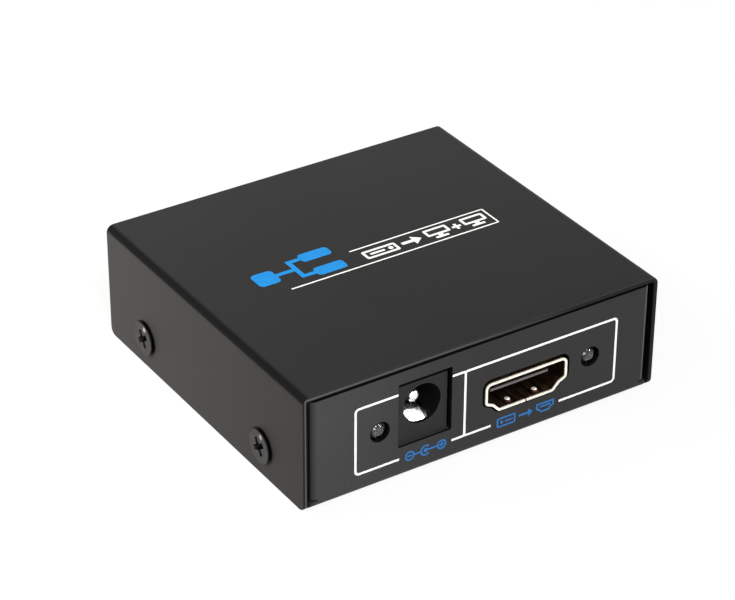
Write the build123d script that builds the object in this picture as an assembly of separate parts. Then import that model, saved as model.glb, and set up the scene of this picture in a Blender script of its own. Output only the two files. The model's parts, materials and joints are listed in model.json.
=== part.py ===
from build123d import *
import os

# Video splitter, one input and two outputs, in a case of two folded steel sheets.
# The origin is the middle of the underside. X runs along the front panel to the right,
# Y from the front panel to the rear panel, and Z up. Lengths are in millimetres.

# Case
case_width = 62.6
case_depth = 57.6
case_height = 19.5
sheet = 0.75
bend_radius = 1.25
cover_lift = 0.1
cover_corner = 1.3
cover_edge = 0.12
side_clearance = 0.42
top_clearance = 0.5
panel_recess = 0.12
ear_length = 16.0
ear_corner = 2.0
fold_relief = 0.3
overrun = 1.0

# Cover screws and the collars that they turn into
screw_diameter = 3.0
screw_length = 5.0
screw_head = 5.5
screw_proud = 0.55
head_rim = 0.2
head_edge = 0.1
screw_point = 0.3
thread_clearance = 0.05
seat_clearance = 0.03
screw_row = 17.3
screw_level = 5.2
screw_turn = 32.0
collar_diameter = 4.4
collar_length = 1.2

# Cross recess of every screw
recess_width = 3.0
recess_arm_width = 0.85
recess_core = 1.4
recess_depth = 1.0
recess_taper = 12.0

# Circuit board and what it stands on
board_thickness = 1.6
board_end_gap = 1.0
board_corner = 1.0
screw_tip_gap = 0.8
standoff_height = 2.45
standoff_diameter = 4.2
standoff_hex = 4.8
standoff_floor = 0.5
standoff_margin = 3.65
standoff_row_share = 0.56
board_screw_length = 4.0
board_screw_head = 5.0
board_screw_crown = 1.8
board_screw_bevel = 0.7
board_hole = 3.3
lead_overhang = 1.0
lead_clearance = 0.15

# Video sockets: measured from the mouth along the depth, and up from the board
opening_width = 14.0
opening_height = 4.55
shoulder_height = 1.62
step_height = 1.12
step_inset = 1.15
base_inset = 2.2
crown_radius = 0.65
fold_radius = 0.3
shell_sheet = 0.4
socket_axis = 3.4
shell_depth = 11.6
floor_depth = 8.6
seam_gap = 0.25
rear_flap_lift = 0.6
finger_width = 1.5
finger_length = 4.6
finger_slot = 0.3
finger_start = 0.5
floor_finger_column = 2.45
roof_finger_column = 3.4
dimple_radius = 0.75
dimple_rise = 0.35
dimple_row = 1.45
leg_width = 1.5
front_leg = 3.6
rear_leg = 9.6
tongue_width = 10.5
tongue_thickness = 1.2
tongue_axis = 2.35
tongue_start = 1.9
tongue_chamfer = 0.3
block_clearance = 0.05
block_end = 11.0
foot_width = 11.2
peg_diameter = 0.9
peg_length = 1.2
peg_column = 4.6
peg_row = 9.9
contact_pitch = 1.0
contact_width = 0.3
contact_sheet = 0.15
contact_start = 2.4
contact_foot = 1.0
upper_contact_count = 10
lower_contact_count = 9
input_column = 7.5
output_column = 10.4
cutout_clearance = 0.45
cutout_rise = 0.2

# Power jack: measured from its face along the depth, and up from the board
jack_column = -10.5
jack_recess = 0.8
jack_width = 9.0
jack_height = 10.6
jack_axis = 6.3
jack_length = 14.0
jack_flange = 3.4
jack_waist = 0.3
jack_edge = 0.25
bore_diameter = 6.4
bore_depth = 9.3
bore_chamfer = 0.2
pin_diameter = 2.0
pin_start = 1.9
pin_tip = 0.6
pin_shank = 1.6
pin_shoulder = 0.1
pin_clearance = 0.02
blade_sheet = 0.5
blade_width = 2.6
blade_row = 12.4
blade_top = 1.6
leaf_sheet = 0.3
leaf_width = 3.4
leaf_clearance = 0.15
leaf_start = 0.8
leaf_lip = 2.75
leaf_knee_row = 2.6
leaf_knee = 3.9
leaf_crest_row = 3.7
leaf_crest = 4.15
leaf_root_row = 10.6
leaf_root = 2.4
leaf_bend = 0.7
shunt_row = 9.9
shunt_width = 1.2
shunt_column = 3.5
shunt_tip = 1.2
shunt_gap = 0.05
jack_opening_gap = 0.15
jack_opening_floor = 0.5
jack_opening_top = 11.4
jack_opening_corner = 0.2

# Indicator lights: measured from the panel's face along the depth, and up from the board
light_diameter = 3.0
light_flange = 3.8
light_flange_depth = 1.0
light_flat = 0.15
light_length = 5.3
light_axis = 4.5
light_hole = 3.4
light_lead = 0.5
light_lead_pitch = 2.54
light_lead_drop = 7.0
light_lead_bend = 0.6
power_light_column = -18.3
input_light_column = 19.2
output_light_column = 21.6

# Chips and other parts on the board
lead_sheet = 0.15
chip_lift = 0.1
chip_draft = 8.0
splitter_size = 10.0
splitter_crown = 1.4
splitter_pitch = 0.5
splitter_lead_count = 16
splitter_lead_length = 1.0
splitter_lead_width = 0.22
memory_length = 4.9
memory_width = 3.9
memory_crown = 1.45
memory_pitch = 1.27
memory_lead_count = 4
memory_lead_length = 1.05
memory_lead_width = 0.42
array_length = 2.9
array_width = 1.6
array_crown = 1.1
array_pitch = 0.95
array_lead_count = 3
array_lead_length = 0.6
array_lead_width = 0.38
array_spacing = 4.4
array_gap = 1.3
regulator_length = 6.5
regulator_width = 3.5
regulator_crown = 1.6
regulator_pitch = 2.3
regulator_lead_count = 3
regulator_lead_length = 1.75
regulator_lead_width = 0.7
regulator_tab_width = 3.0
diode_length = 4.3
diode_width = 2.6
diode_crown = 2.1
diode_lead_length = 0.6
diode_lead_width = 1.5
inductor_size = 6.0
inductor_crown = 2.8
inductor_corner = 0.9
inductor_drum = 4.6
inductor_groove = 0.4
inductor_groove_depth = 0.5
terminal_width = 3.0
terminal_length = 1.2
can_diameter = 6.3
can_height = 5.0
can_round = 0.4
can_neck = 0.35
can_neck_height = 1.1
can_base = 6.6
can_base_height = 0.9
can_base_corner = 1.3
crystal_length = 5.0
crystal_width = 3.2
crystal_base_height = 0.65
crystal_rim = 0.2
crystal_lid_height = 0.35
crystal_corner = 0.3
passive_length = 1.6
passive_width = 0.8
resistor_height = 0.45
capacitor_height = 0.75
end_cap = 0.3

# A gull-wing lead's two bends, as shares of its reach
lead_knee_share = 0.35
lead_heel_share = 0.55

# Places on the board, as shares of its half width and its half depth
splitter_share = (0.0, 0.08)
crystal_share = (-0.44, 0.27)
memory_shares = [(0.82, -0.30), (0.72, 0.12)]
buck_share = (-0.44, -0.262)
regulator_share = (-0.48, 0.036)
diode_share = (-0.75, -0.345)
inductor_share = (-0.82, -0.14)
can_shares = [(-0.82, 0.16), (-0.09, -0.35)]
resistor_shares = [(0.12, -0.22), (0.20, -0.22), (0.28, -0.22), (0.48, -0.22)]
resistor_shares += [(0.48, -0.13), (-0.29, -0.165), (0.04, 0.41), (0.14, 0.41)]
capacitor_shares = [(0.40, 0.0), (0.40, 0.08), (0.40, 0.16), (0.51, 0.22)]
capacitor_shares += [(0.51, 0.29), (0.36, -0.22), (0.36, -0.30), (0.60, -0.36)]

# Places worked out from the sizes above
half_width = case_width / 2
half_depth = case_depth / 2
wall_inside = half_width - sheet
tray_side = wall_inside - side_clearance
ear_inside = tray_side - sheet
panel_face = half_depth - panel_recess
panel_back = panel_face - sheet
panel_top = case_height - sheet - top_clearance
ear_base = bend_radius + fold_relief
fold_inside = bend_radius - sheet
board_top = sheet + standoff_height + board_thickness
board_half_width = half_width + screw_proud - screw_length - screw_tip_gap
board_half_depth = panel_back - board_end_gap
standoff_column = board_half_width - standoff_margin
standoff_row = standoff_row_share * board_half_depth
lead_end = board_thickness + lead_overhang
opening_lift = socket_axis - opening_height / 2
opening_roof = opening_lift + opening_height
tongue_top = opening_lift + tongue_axis + tongue_thickness / 2
tongue_under = tongue_top - tongue_thickness
jack_inset = panel_recess + jack_recess
array_inset = block_end + contact_sheet + contact_foot + array_gap + array_width / 2 + array_lead_length


def block(x0, x1, y0, y1, z0, z1):
    """A box between two corners."""
    return Pos((x0 + x1) / 2, (y0 + y1) / 2, (z0 + z1) / 2) * Box(x1 - x0, y1 - y0, z1 - z0)


def rod_y(radius, y0, y1):
    """A cylinder along Y."""
    return Pos(0, (y0 + y1) / 2, 0) * Rot(90, 0, 0) * Cylinder(radius, y1 - y0)


def rod_z(radius, z0, z1):
    """A cylinder along Z."""
    return Pos(0, 0, (z0 + z1) / 2) * Cylinder(radius, z1 - z0)


def slab_x(outline, x0, x1):
    """An outline drawn in Y and Z, given thickness along X."""
    return extrude(Plane.YZ.offset(x0) * outline, amount=x1 - x0)


def slab_y(outline, y0, y1):
    """An outline drawn in X and Z, given thickness along Y."""
    return extrude(Plane.XZ.offset(-y1) * outline, amount=y1 - y0)


def bent_strip(points, radius, thickness):
    """The edge-on outline of a strip that is bent along a line of points."""
    return trace(FilletPolyline(*points, radius=radius), line_width=thickness)


def spread(count, pitch):
    """Places along a line, evenly spaced about its middle."""
    return [(i - (count - 1) / 2) * pitch for i in range(count)]


def at_front(piece, column, inset):
    """Sets a piece that is measured from its mouth this far behind the case's front edge."""
    return Pos(column, inset - half_depth, board_top) * piece


def at_rear(piece, column, inset):
    """Sets such a piece in the rear panel, turned round."""
    return Pos(column, half_depth - inset, board_top) * Rot(0, 0, 180) * piece


def on_board(piece, share):
    """Sets a piece on the board's upper side at a share of its half sizes."""
    return Pos(share[0] * board_half_width, share[1] * board_half_depth, board_top) * piece


def screw_places():
    """Each cover screw's place on its wall, turned so that its Z points outwards."""
    sides = [(-half_width, -90), (half_width, 90)]
    rows = (-screw_row, screw_row)
    return [Pos(x, row, screw_level) * Rot(0, turn, 0) for x, turn in sides for row in rows]


def standoff_places():
    """The four standoffs' places on the floor."""
    rows = (-standoff_row, standoff_row)
    return [Pos(x, y, 0) for x in (-standoff_column, standoff_column) for y in rows]


def make_cover():
    """The roof and both side walls, folded from one sheet, with countersunk screw holes."""
    outer = block(-half_width, half_width, -half_depth, half_depth, cover_lift, case_height)
    outer = fillet(outer.edges().filter_by(Axis.Y).group_by(Axis.Z)[-1], bend_radius)
    outer = fillet(outer.edges().filter_by(Axis.X).group_by(Axis.Z)[0], cover_corner)
    outer = fillet(outer.faces().filter_by(Axis.Y).edges(), cover_edge)
    inner = block(-wall_inside, wall_inside, -case_depth, case_depth, -case_height, case_height - sheet)
    inner = fillet(inner.edges().filter_by(Axis.Y).group_by(Axis.Z)[-1], fold_inside)
    cover = outer - inner
    mouth = screw_head / 2 - screw_proud + head_rim + seat_clearance
    throat = mouth - sheet
    sink = Pos(0, 0, (overrun - sheet) / 2) * Cone(throat, mouth + overrun, sheet + overrun)
    sink += rod_z(throat, -sheet - overrun, 0)
    return cover - [place * sink for place in screw_places()]


def folded_panel():
    """One panel above the floor's fold, with its upright folds and its two ears."""
    tip = ear_length - panel_face
    outer = block(-tray_side, tray_side, -panel_face, tip, ear_base, panel_top)
    outer = fillet(outer.edges().filter_by(Axis.Z).group_by(Axis.Y)[0], bend_radius)
    inner = block(-ear_inside, ear_inside, -panel_back, case_depth, -case_height, case_height)
    inner = fillet(inner.edges().filter_by(Axis.Z).group_by(Axis.Y)[0], fold_inside)
    panel = outer - inner
    return fillet(panel.edges().filter_by(Axis.X).group_by(Axis.Y)[-1], ear_corner)


def socket_cutout():
    """The hole in a panel around a socket's mouth."""
    outline = opening_outline(shell_sheet + cutout_clearance)
    return Pos(0, 0, cutout_rise) * slab_y(outline, -overrun, sheet + panel_recess + overrun)


def jack_opening():
    """The hole in the front panel around the jack's face."""
    half = jack_width / 2 + jack_opening_gap
    front = -overrun - jack_recess
    hole = block(-half, half, front, sheet + overrun, jack_opening_floor, jack_opening_top)
    return fillet(hole.edges().filter_by(Axis.Y), jack_opening_corner)


def make_tray():
    """The floor, both panels and their ears, folded from one sheet, with every cut-out."""
    outer = block(-tray_side, tray_side, -panel_face, panel_face, 0, panel_top)
    outer = fillet(outer.edges().filter_by(Axis.X).group_by(Axis.Z)[0], bend_radius)
    inner = block(-case_width, case_width, -panel_back, panel_back, sheet, case_height)
    inner = fillet(inner.edges().filter_by(Axis.X).group_by(Axis.Z)[0], fold_inside)
    notch_side = tray_side - bend_radius
    notch = block(notch_side, case_width, -case_depth, case_depth, bend_radius, case_height)
    panel = folded_panel()
    tray = outer - [inner, notch, mirror(notch, Plane.YZ)]
    tray += [panel, mirror(panel, Plane.XZ)]
    collar_back = ear_inside - collar_length - half_width
    collar = rod_z(collar_diameter / 2, collar_back, tray_side - half_width)
    thread = rod_z(screw_diameter / 2 + thread_clearance, -screw_length - overrun, 0)
    tray += [place * collar for place in screw_places()]
    tray -= [place * thread for place in screw_places()]
    seat = extrude(standoff_outline(), amount=sheet + overrun, both=True)
    tray -= [place * seat for place in standoff_places()]
    light_window = Pos(0, 0, light_axis) * rod_y(light_hole / 2, -overrun, sheet + overrun)
    tray -= at_front(socket_cutout(), input_column, 0)
    tray -= at_front(jack_opening(), jack_column, jack_inset)
    tray -= [at_rear(socket_cutout(), x, 0) for x in (-output_column, output_column)]
    tray -= [at_front(light_window, x, panel_recess) for x in (power_light_column, input_light_column)]
    tray -= [at_rear(light_window, x, panel_recess) for x in (-output_light_column, output_light_column)]
    return tray


def cross_recess(width):
    """The cutter for a cross recess, reaching down from the origin."""
    arm = recess_arm_width * width / recess_width
    core = recess_core * width / recess_width
    outline = Rectangle(width, arm) + Rectangle(arm, width) + Rot(0, 0, 45) * Rectangle(core, core)
    blade = mirror(extrude(outline, amount=recess_depth, taper=recess_taper), Plane.XY)
    return blade + extrude(outline, amount=overrun)


def cover_screw():
    """A countersunk screw, its head standing proud of the wall at the origin."""
    shank = screw_diameter / 2
    head = screw_head / 2
    cone_top = screw_proud - head_rim
    tip = screw_proud - screw_length
    points = [(0, screw_proud), (head - head_edge, screw_proud), (head, screw_proud - head_edge)]
    points += [(head, cone_top), (shank, cone_top - head + shank), (shank, tip + screw_point)]
    points += [(shank - screw_point, tip), (0, tip)]
    body = revolve(Plane.XZ * make_face(Polyline(*points, close=True)), Axis.Z)
    return body - Pos(0, 0, screw_proud) * Rot(0, 0, screw_turn) * cross_recess(recess_width)


def board_screw():
    """A pan-head screw, the underside of its head at the origin."""
    head = rod_z(board_screw_head / 2, 0, board_screw_crown)
    head = chamfer(head.edges().group_by(Axis.Z)[-1], board_screw_bevel)
    shank = rod_z(screw_diameter / 2, -board_screw_length, 0)
    shank = chamfer(shank.edges().group_by(Axis.Z)[0], screw_point)
    return head + shank - Pos(0, 0, board_screw_crown) * cross_recess(recess_width)


def standoff_outline():
    """The standoff's hexagonal base."""
    return RegularPolygon(standoff_hex / 2, 6, major_radius=False)


def make_standoff():
    """A standoff with its hexagonal base clinched in the floor and a blind thread from above."""
    base = extrude(standoff_outline(), amount=sheet)
    top = sheet + standoff_height
    body = base + rod_z(standoff_diameter / 2, 0, top)
    return body - rod_z(screw_diameter / 2 + thread_clearance, standoff_floor, top + overrun)


def opening_outline(margin=0):
    """A socket's opening in X and Z, square above and stepped in below, or larger by a margin."""
    half = opening_width / 2
    right = [(half - base_inset, opening_lift), (half - step_inset, opening_lift + step_height)]
    right += [(half, opening_lift + shoulder_height), (half, opening_roof)]
    left = [(-x, z) for x, z in reversed(right)]
    outline = make_face(Polyline(*right, *left, close=True))
    if margin:
        outline = offset(outline, amount=margin, kind=Kind.INTERSECTION)
    outline = fillet(outline.vertices().group_by(Axis.Y)[-1], crown_radius + margin)
    outline = fillet(outline.vertices().sort_by(Axis.Y)[4:6], fold_radius + margin)
    outline = fillet(outline.vertices().sort_by(Axis.Y)[2:4], fold_radius)
    return fillet(outline.vertices().sort_by(Axis.Y)[:2], fold_radius + margin)


def finger_cut(column, z0, z1):
    """The slot round three sides of a sprung finger, its free end towards the mouth."""
    half = finger_width / 2
    end = finger_start + finger_length
    window = block(column - half - finger_slot, column + half + finger_slot, finger_start, end, z0, z1)
    return window - block(column - half, column + half, finger_start + finger_slot, end + overrun, z0, z1)


def finger_dimple(column, level, side):
    """The bump near a finger's free end, on the side of the sheet that the plug touches."""
    ball = Pos(column, dimple_row, level + side * (dimple_rise - dimple_radius)) * Sphere(dimple_radius)
    keep = sorted((level - side * shell_sheet / 2, level + side * dimple_radius))
    reach = dimple_radius + overrun
    return ball & block(column - reach, column + reach, dimple_row - reach, dimple_row + reach, *keep)


def socket_shell():
    """The folded metal shell: mouth, seam, sprung fingers, rear flap and four legs."""
    half = opening_width / 2
    shoulder = opening_lift + shoulder_height
    shell = slab_y(opening_outline(shell_sheet) - opening_outline(), 0, shell_depth)
    shell -= block(-opening_width, opening_width, floor_depth, shell_depth + overrun, -overrun, shoulder)
    seam_half = seam_gap / 2
    shell -= block(-seam_half, seam_half, -overrun, shell_depth, -overrun, opening_lift + dimple_rise)
    floor_columns = (-floor_finger_column, floor_finger_column)
    roof_columns = (-roof_finger_column, roof_finger_column)
    under = opening_lift - shell_sheet - overrun
    shell -= [finger_cut(x, under, opening_lift + dimple_rise) for x in floor_columns]
    shell -= [finger_cut(x, opening_roof - dimple_rise, opening_roof + overrun) for x in roof_columns]
    shell += [finger_dimple(x, opening_lift, 1) for x in floor_columns]
    shell += [finger_dimple(x, opening_roof, -1) for x in roof_columns]
    flap = half - crown_radius
    shell += block(-flap, flap, shell_depth - shell_sheet, shell_depth, rear_flap_lift, opening_roof)
    leg_half = leg_width / 2
    leg_top = shoulder + leg_width
    for row in (front_leg, rear_leg):
        leg = block(half, half + shell_sheet, row - leg_half, row + leg_half, -lead_end, leg_top)
        shell += [leg, mirror(leg, Plane.YZ)]
    return shell


def socket_contacts():
    """The contacts: ten in the tongue's upper face, nine in its lower one, with feet in one row."""
    back = block_end + contact_sheet
    toe = back + contact_foot
    rows = [(tongue_top - contact_sheet, upper_contact_count), (tongue_under, lower_contact_count)]
    contacts = []
    for level, count in rows:
        top = level + contact_sheet
        points = [(contact_start, level), (contact_start, top), (back, top), (back, contact_sheet)]
        points += [(toe, contact_sheet), (toe, 0), (block_end, 0), (block_end, level)]
        outline = make_face(Polyline(*points, close=True))
        contact = slab_x(outline, -contact_width / 2, contact_width / 2)
        contacts += [Pos(x, 0, 0) * contact for x in spread(count, contact_pitch)]
    return contacts


def socket_insulator():
    """The moulded block with its tongue, foot and pegs, grooved for the contacts."""
    start = floor_depth + block_clearance
    body = slab_y(opening_outline(-block_clearance), start, block_end)
    body += block(-foot_width / 2, foot_width / 2, start, block_end, 0, opening_lift + shoulder_height)
    tongue = block(-tongue_width / 2, tongue_width / 2, tongue_start, block_end, tongue_under, tongue_top)
    tongue = chamfer(tongue.edges().filter_by(Axis.X).group_by(Axis.Y)[0], tongue_chamfer)
    body += tongue
    peg = rod_z(peg_diameter / 2, -peg_length, overrun)
    body += [Pos(x, peg_row, 0) * peg for x in (-peg_column, peg_column)]
    return body - socket_contacts()


def socket_board_holes():
    """The slots and holes that a socket's legs and pegs need in the board."""
    half_sheet = shell_sheet / 2
    x = opening_width / 2 + half_sheet
    wide = half_sheet + lead_clearance
    long = leg_width / 2 + lead_clearance
    slot = [block(side * x - wide, side * x + wide, row - long, row + long, -lead_end, overrun)
            for side in (-1, 1) for row in (front_leg, rear_leg)]
    peg = rod_z(peg_diameter / 2 + lead_clearance, -lead_end, overrun)
    return slot + [Pos(side * peg_column, peg_row, 0) * peg for side in (-1, 1)]


def leaf_points():
    """The sprung contact's bends: lip, knee, crest and root, then down through the board."""
    bends = [(leaf_start, leaf_lip), (leaf_knee_row, leaf_knee), (leaf_crest_row, leaf_crest)]
    return bends + [(leaf_root_row, leaf_root), (leaf_root_row, -lead_end)]


def shunt_level():
    """The height of the shunt contact's tongue, which lies just over the leaf."""
    slope = (leaf_crest - leaf_root) / (leaf_root_row - leaf_crest_row)
    leaf = leaf_crest - slope * (shunt_row - shunt_width / 2 - leaf_crest_row)
    return leaf + leaf_sheet / 2 * (1 + slope ** 2) ** 0.5 + shunt_gap + leaf_sheet / 2


def jack_housing():
    """The moulded housing: square flange, round-backed body, bore and contact slots."""
    half = jack_width / 2
    flange = block(-half, half, 0, jack_flange, 0, jack_height)
    flange = chamfer(flange.faces().sort_by(Axis.Y)[0].edges(), jack_edge)
    waist = half - jack_waist
    body = flange + block(-waist, waist, jack_flange, jack_length, 0, jack_axis)
    body += Pos(0, 0, jack_axis) * rod_y(waist, jack_flange, jack_length)
    bore = rod_y(bore_diameter / 2, -overrun, bore_depth)
    bore += rod_y(pin_shank / 2 + pin_clearance, 0, jack_length)
    rim = bore_diameter / 2 + bore_chamfer
    bore += Rot(-90, 0, 0) * Cone(rim + overrun, rim - bore_chamfer - overrun, 2 * overrun + bore_chamfer)
    body -= Pos(0, 0, jack_axis) * bore
    leaf_side = leaf_width / 2 + leaf_clearance
    leaf_front = leaf_start - leaf_sheet
    leaf_back = leaf_root_row + leaf_sheet / 2
    body -= block(-leaf_side, leaf_side, leaf_front, leaf_back, -overrun, jack_axis - pin_diameter)
    blade_side = blade_width / 2 + leaf_clearance
    blade_crown = jack_axis + blade_top + leaf_clearance
    body -= block(-blade_side, blade_side, blade_row, jack_length + overrun, -overrun, blade_crown)
    shunt_half = shunt_width / 2 + leaf_clearance
    shunt_out = shunt_column + leaf_sheet / 2
    shunt_crown = shunt_level() + leaf_sheet
    return body - block(0, shunt_out, shunt_row - shunt_half, shunt_row + shunt_half, -overrun, shunt_crown)


def jack_pin():
    """The centre pin with its round tip and thinner shank, and the blade that it is riveted to."""
    pin = rod_y(pin_diameter / 2, pin_start, bore_depth - pin_shoulder)
    pin = fillet(pin.edges().group_by(Axis.Y)[0], pin_tip)
    pin = Pos(0, 0, jack_axis) * (pin + rod_y(pin_shank / 2, bore_depth - pin_shoulder, blade_row))
    half = blade_width / 2
    return pin + block(-half, half, blade_row, blade_row + blade_sheet, -lead_end, jack_axis + blade_top)


def jack_leaf():
    """The sprung contact that presses on the plug's sleeve from below."""
    return slab_x(bent_strip(leaf_points(), leaf_bend, leaf_sheet), -leaf_width / 2, leaf_width / 2)


def jack_shunt():
    """The contact that rests over the sprung one while no plug is in."""
    level = shunt_level()
    points = [(shunt_tip, level), (shunt_column, level), (shunt_column, -lead_end)]
    outline = bent_strip(points, leaf_sheet, leaf_sheet)
    return slab_y(outline, shunt_row - shunt_width / 2, shunt_row + shunt_width / 2)


def jack_board_holes():
    """The slots that the jack's three terminals need in the board."""
    half_sheet = leaf_sheet / 2 + lead_clearance
    leaf_half = leaf_width / 2 + lead_clearance
    blade_half = blade_width / 2 + lead_clearance
    shunt_half = shunt_width / 2 + lead_clearance
    blade_front = blade_row - lead_clearance
    blade_back = blade_row + blade_sheet + lead_clearance
    leaf = block(-leaf_half, leaf_half, -half_sheet, half_sheet, -lead_end, overrun)
    blade = block(-blade_half, blade_half, blade_front, blade_back, -lead_end, overrun)
    shunt = block(-half_sheet, half_sheet, -shunt_half, shunt_half, -lead_end, overrun)
    return [Pos(0, leaf_root_row, 0) * leaf, blade, Pos(shunt_column, shunt_row, 0) * shunt]


def light_lens():
    """A round-nosed lens with its flange, flat on one side."""
    radius = light_diameter / 2
    lens = rod_y(radius, radius, light_length) + Pos(0, radius, 0) * Sphere(radius)
    flange = rod_y(light_flange / 2, light_length - light_flange_depth, light_length)
    flat = block(radius + light_flat, light_flange, 0, light_length + overrun, -light_flange, light_flange)
    return Pos(0, 0, light_axis) * (lens + (flange - flat))


def light_leads():
    """Both leads of a light, bent down through the board."""
    points = [(light_length, light_axis), (light_lead_drop, light_axis), (light_lead_drop, -lead_end)]
    lead = slab_x(bent_strip(points, light_lead_bend, light_lead), -light_lead / 2, light_lead / 2)
    return [Pos(x, 0, 0) * lead for x in spread(2, light_lead_pitch)]


def light_board_holes():
    """The holes that a light's leads need in the board."""
    hole = rod_z(light_lead / 2 + 2 * lead_clearance, -lead_end, overrun)
    return [Pos(x, light_lead_drop, 0) * hole for x in spread(2, light_lead_pitch)]


def make_board():
    """The circuit board with its screw holes and every lead's hole."""
    outline = Rectangle(2 * board_half_width, 2 * board_half_depth)
    outline = fillet(outline.vertices(), board_corner)
    board = Pos(0, 0, board_top - board_thickness) * extrude(outline, amount=board_thickness)
    board -= [place * rod_z(board_hole / 2, 0, case_height) for place in standoff_places()]
    board -= [at_front(hole, input_column, 0) for hole in socket_board_holes()]
    for x in (-output_column, output_column):
        board -= [at_rear(hole, x, 0) for hole in socket_board_holes()]
    board -= [at_front(hole, jack_column, jack_inset) for hole in jack_board_holes()]
    for x in (power_light_column, input_light_column):
        board -= [at_front(hole, x, panel_recess) for hole in light_board_holes()]
    for x in (-output_light_column, output_light_column):
        board -= [at_rear(hole, x, panel_recess) for hole in light_board_holes()]
    return board


def chip_body(length, width, crown):
    """A moulded chip body, drafted both ways from its middle."""
    upper = extrude(Rectangle(length, width), amount=crown / 2, taper=chip_draft)
    return Pos(0, 0, chip_lift + crown / 2) * (upper + mirror(upper, Plane.XY))


def gull_lead(reach, crown, width):
    """One gull-wing lead, from the middle of a chip's side out along X and down to the board."""
    half = lead_sheet / 2
    exit_level = chip_lift + crown / 2
    knee = reach * lead_knee_share
    heel = reach * lead_heel_share
    points = [(0, exit_level - half), (0, exit_level + half), (knee, exit_level + half)]
    points += [(heel, lead_sheet), (reach, lead_sheet), (reach, 0), (heel - half, 0)]
    points += [(knee - half, exit_level - half)]
    return slab_y(make_face(Polyline(*points, close=True)), -width / 2, width / 2)


def lead_row(turn, body, count, pitch, lead):
    """A row of leads along one side of a chip, turned to that side."""
    return [Rot(0, 0, turn) * Pos(body / 2, y, 0) * lead for y in spread(count, pitch)]


def splitter_leads_all():
    """The splitter chip's leads, on all four sides."""
    lead = gull_lead(splitter_lead_length, splitter_crown, splitter_lead_width)
    leads = []
    for turn in (0, 90, 180, 270):
        leads += lead_row(turn, splitter_size, splitter_lead_count, splitter_pitch, lead)
    return leads


def memory_leads_all():
    """A memory chip's leads, on both long sides."""
    lead = gull_lead(memory_lead_length, memory_crown, memory_lead_width)
    leads = []
    for turn in (90, 270):
        leads += lead_row(turn, memory_width, memory_lead_count, memory_pitch, lead)
    return leads


def array_leads_all():
    """A protection array's leads."""
    lead = gull_lead(array_lead_length, array_crown, array_lead_width)
    leads = []
    for turn in (90, 270):
        leads += lead_row(turn, array_width, array_lead_count, array_pitch, lead)
    return leads


def regulator_leads_all():
    """The linear regulator's three leads and its wide tab."""
    lead = gull_lead(regulator_lead_length, regulator_crown, regulator_lead_width)
    tab = gull_lead(regulator_lead_length, regulator_crown, regulator_tab_width)
    row = lead_row(270, regulator_width, regulator_lead_count, regulator_pitch, lead)
    return row + lead_row(90, regulator_width, 1, regulator_pitch, tab)


def diode_leads_all():
    """The diode's two leads."""
    lead = gull_lead(diode_lead_length, diode_crown, diode_lead_width)
    return [Rot(0, 0, turn) * Pos(diode_length / 2, 0, 0) * lead for turn in (0, 180)]


def inductor_body():
    """The shielded inductor: a square ring round a drum, standing on its terminals."""
    half = inductor_size / 2
    body = block(-half, half, -half, half, lead_sheet, lead_sheet + inductor_crown)
    body = chamfer(body.edges().filter_by(Axis.Z), inductor_corner)
    top = lead_sheet + inductor_crown
    groove = rod_z(inductor_drum / 2 + inductor_groove, top - inductor_groove_depth, top + overrun)
    return body - (groove - rod_z(inductor_drum / 2, 0, case_height))


def inductor_terminals():
    """The two flat terminals under the inductor."""
    end = inductor_size / 2
    half = terminal_width / 2
    plate = block(end - terminal_length, end, -half, half, 0, lead_sheet)
    return [plate, mirror(plate, Plane.YZ)]


def can_body():
    """A capacitor's aluminium can, necked in above its base."""
    radius = can_diameter / 2
    top = can_base_height + can_height
    neck = can_base_height + can_neck_height
    points = [(0, can_base_height), (radius, can_base_height), (radius, neck - can_neck)]
    points += [(radius - can_neck, neck), (radius, neck + can_neck), (radius, top - can_round)]
    points += [(radius - can_round, top), (0, top)]
    return revolve(Plane.XZ * make_face(Polyline(*points, close=True)), Axis.Z)


def can_base_body():
    """The square base under a can, with two corners cut."""
    half = can_base / 2
    base = block(-half, half, -half, half, 0, can_base_height)
    return chamfer(base.edges().filter_by(Axis.Z).group_by(Axis.X)[-1], can_base_corner)


def crystal_outline(margin):
    """The crystal seen from above, this far inside its base's edges."""
    outline = Rectangle(crystal_length - 2 * margin, crystal_width - 2 * margin)
    return fillet(outline.vertices(), crystal_corner)


def crystal_lid():
    """The metal lid welded on the crystal's base."""
    lid = extrude(crystal_outline(crystal_rim), amount=crystal_lid_height)
    return Pos(0, 0, crystal_base_height) * lid


def crystal_base():
    """The ceramic base under the crystal's lid."""
    return extrude(crystal_outline(0), amount=crystal_base_height)


def passive_body(height):
    """The middle of a chip resistor or capacitor."""
    half = passive_length / 2 - end_cap
    return block(-half, half, -passive_width / 2, passive_width / 2, 0, height)


def passive_ends(height):
    """Both end caps of a chip resistor or capacitor."""
    outer = passive_length / 2
    cap = block(outer - end_cap, outer, -passive_width / 2, passive_width / 2, 0, height)
    return [cap, mirror(cap, Plane.YZ)]


def placed(pieces, shares):
    """Every piece of a list, repeated at every share of the board."""
    return [on_board(piece, share) for share in shares for piece in pieces]


def behind_sockets(pieces):
    """Every piece of a list, repeated at both places behind each video socket."""
    made = []
    for x in spread(2, array_spacing):
        made += [at_front(piece, input_column + x, array_inset) for piece in pieces]
        for column in (-output_column, output_column):
            made += [at_rear(piece, column + x, array_inset) for piece in pieces]
    return made


def write(name, pieces):
    """Writes one sub-part, made of one or more separate solids, to its own file."""
    solids = [solid for piece in pieces for solid in piece.solids()]
    shape = solids[0] if len(solids) == 1 else Compound(solids)
    export_step(shape, f"parts/{name}.step")


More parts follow.
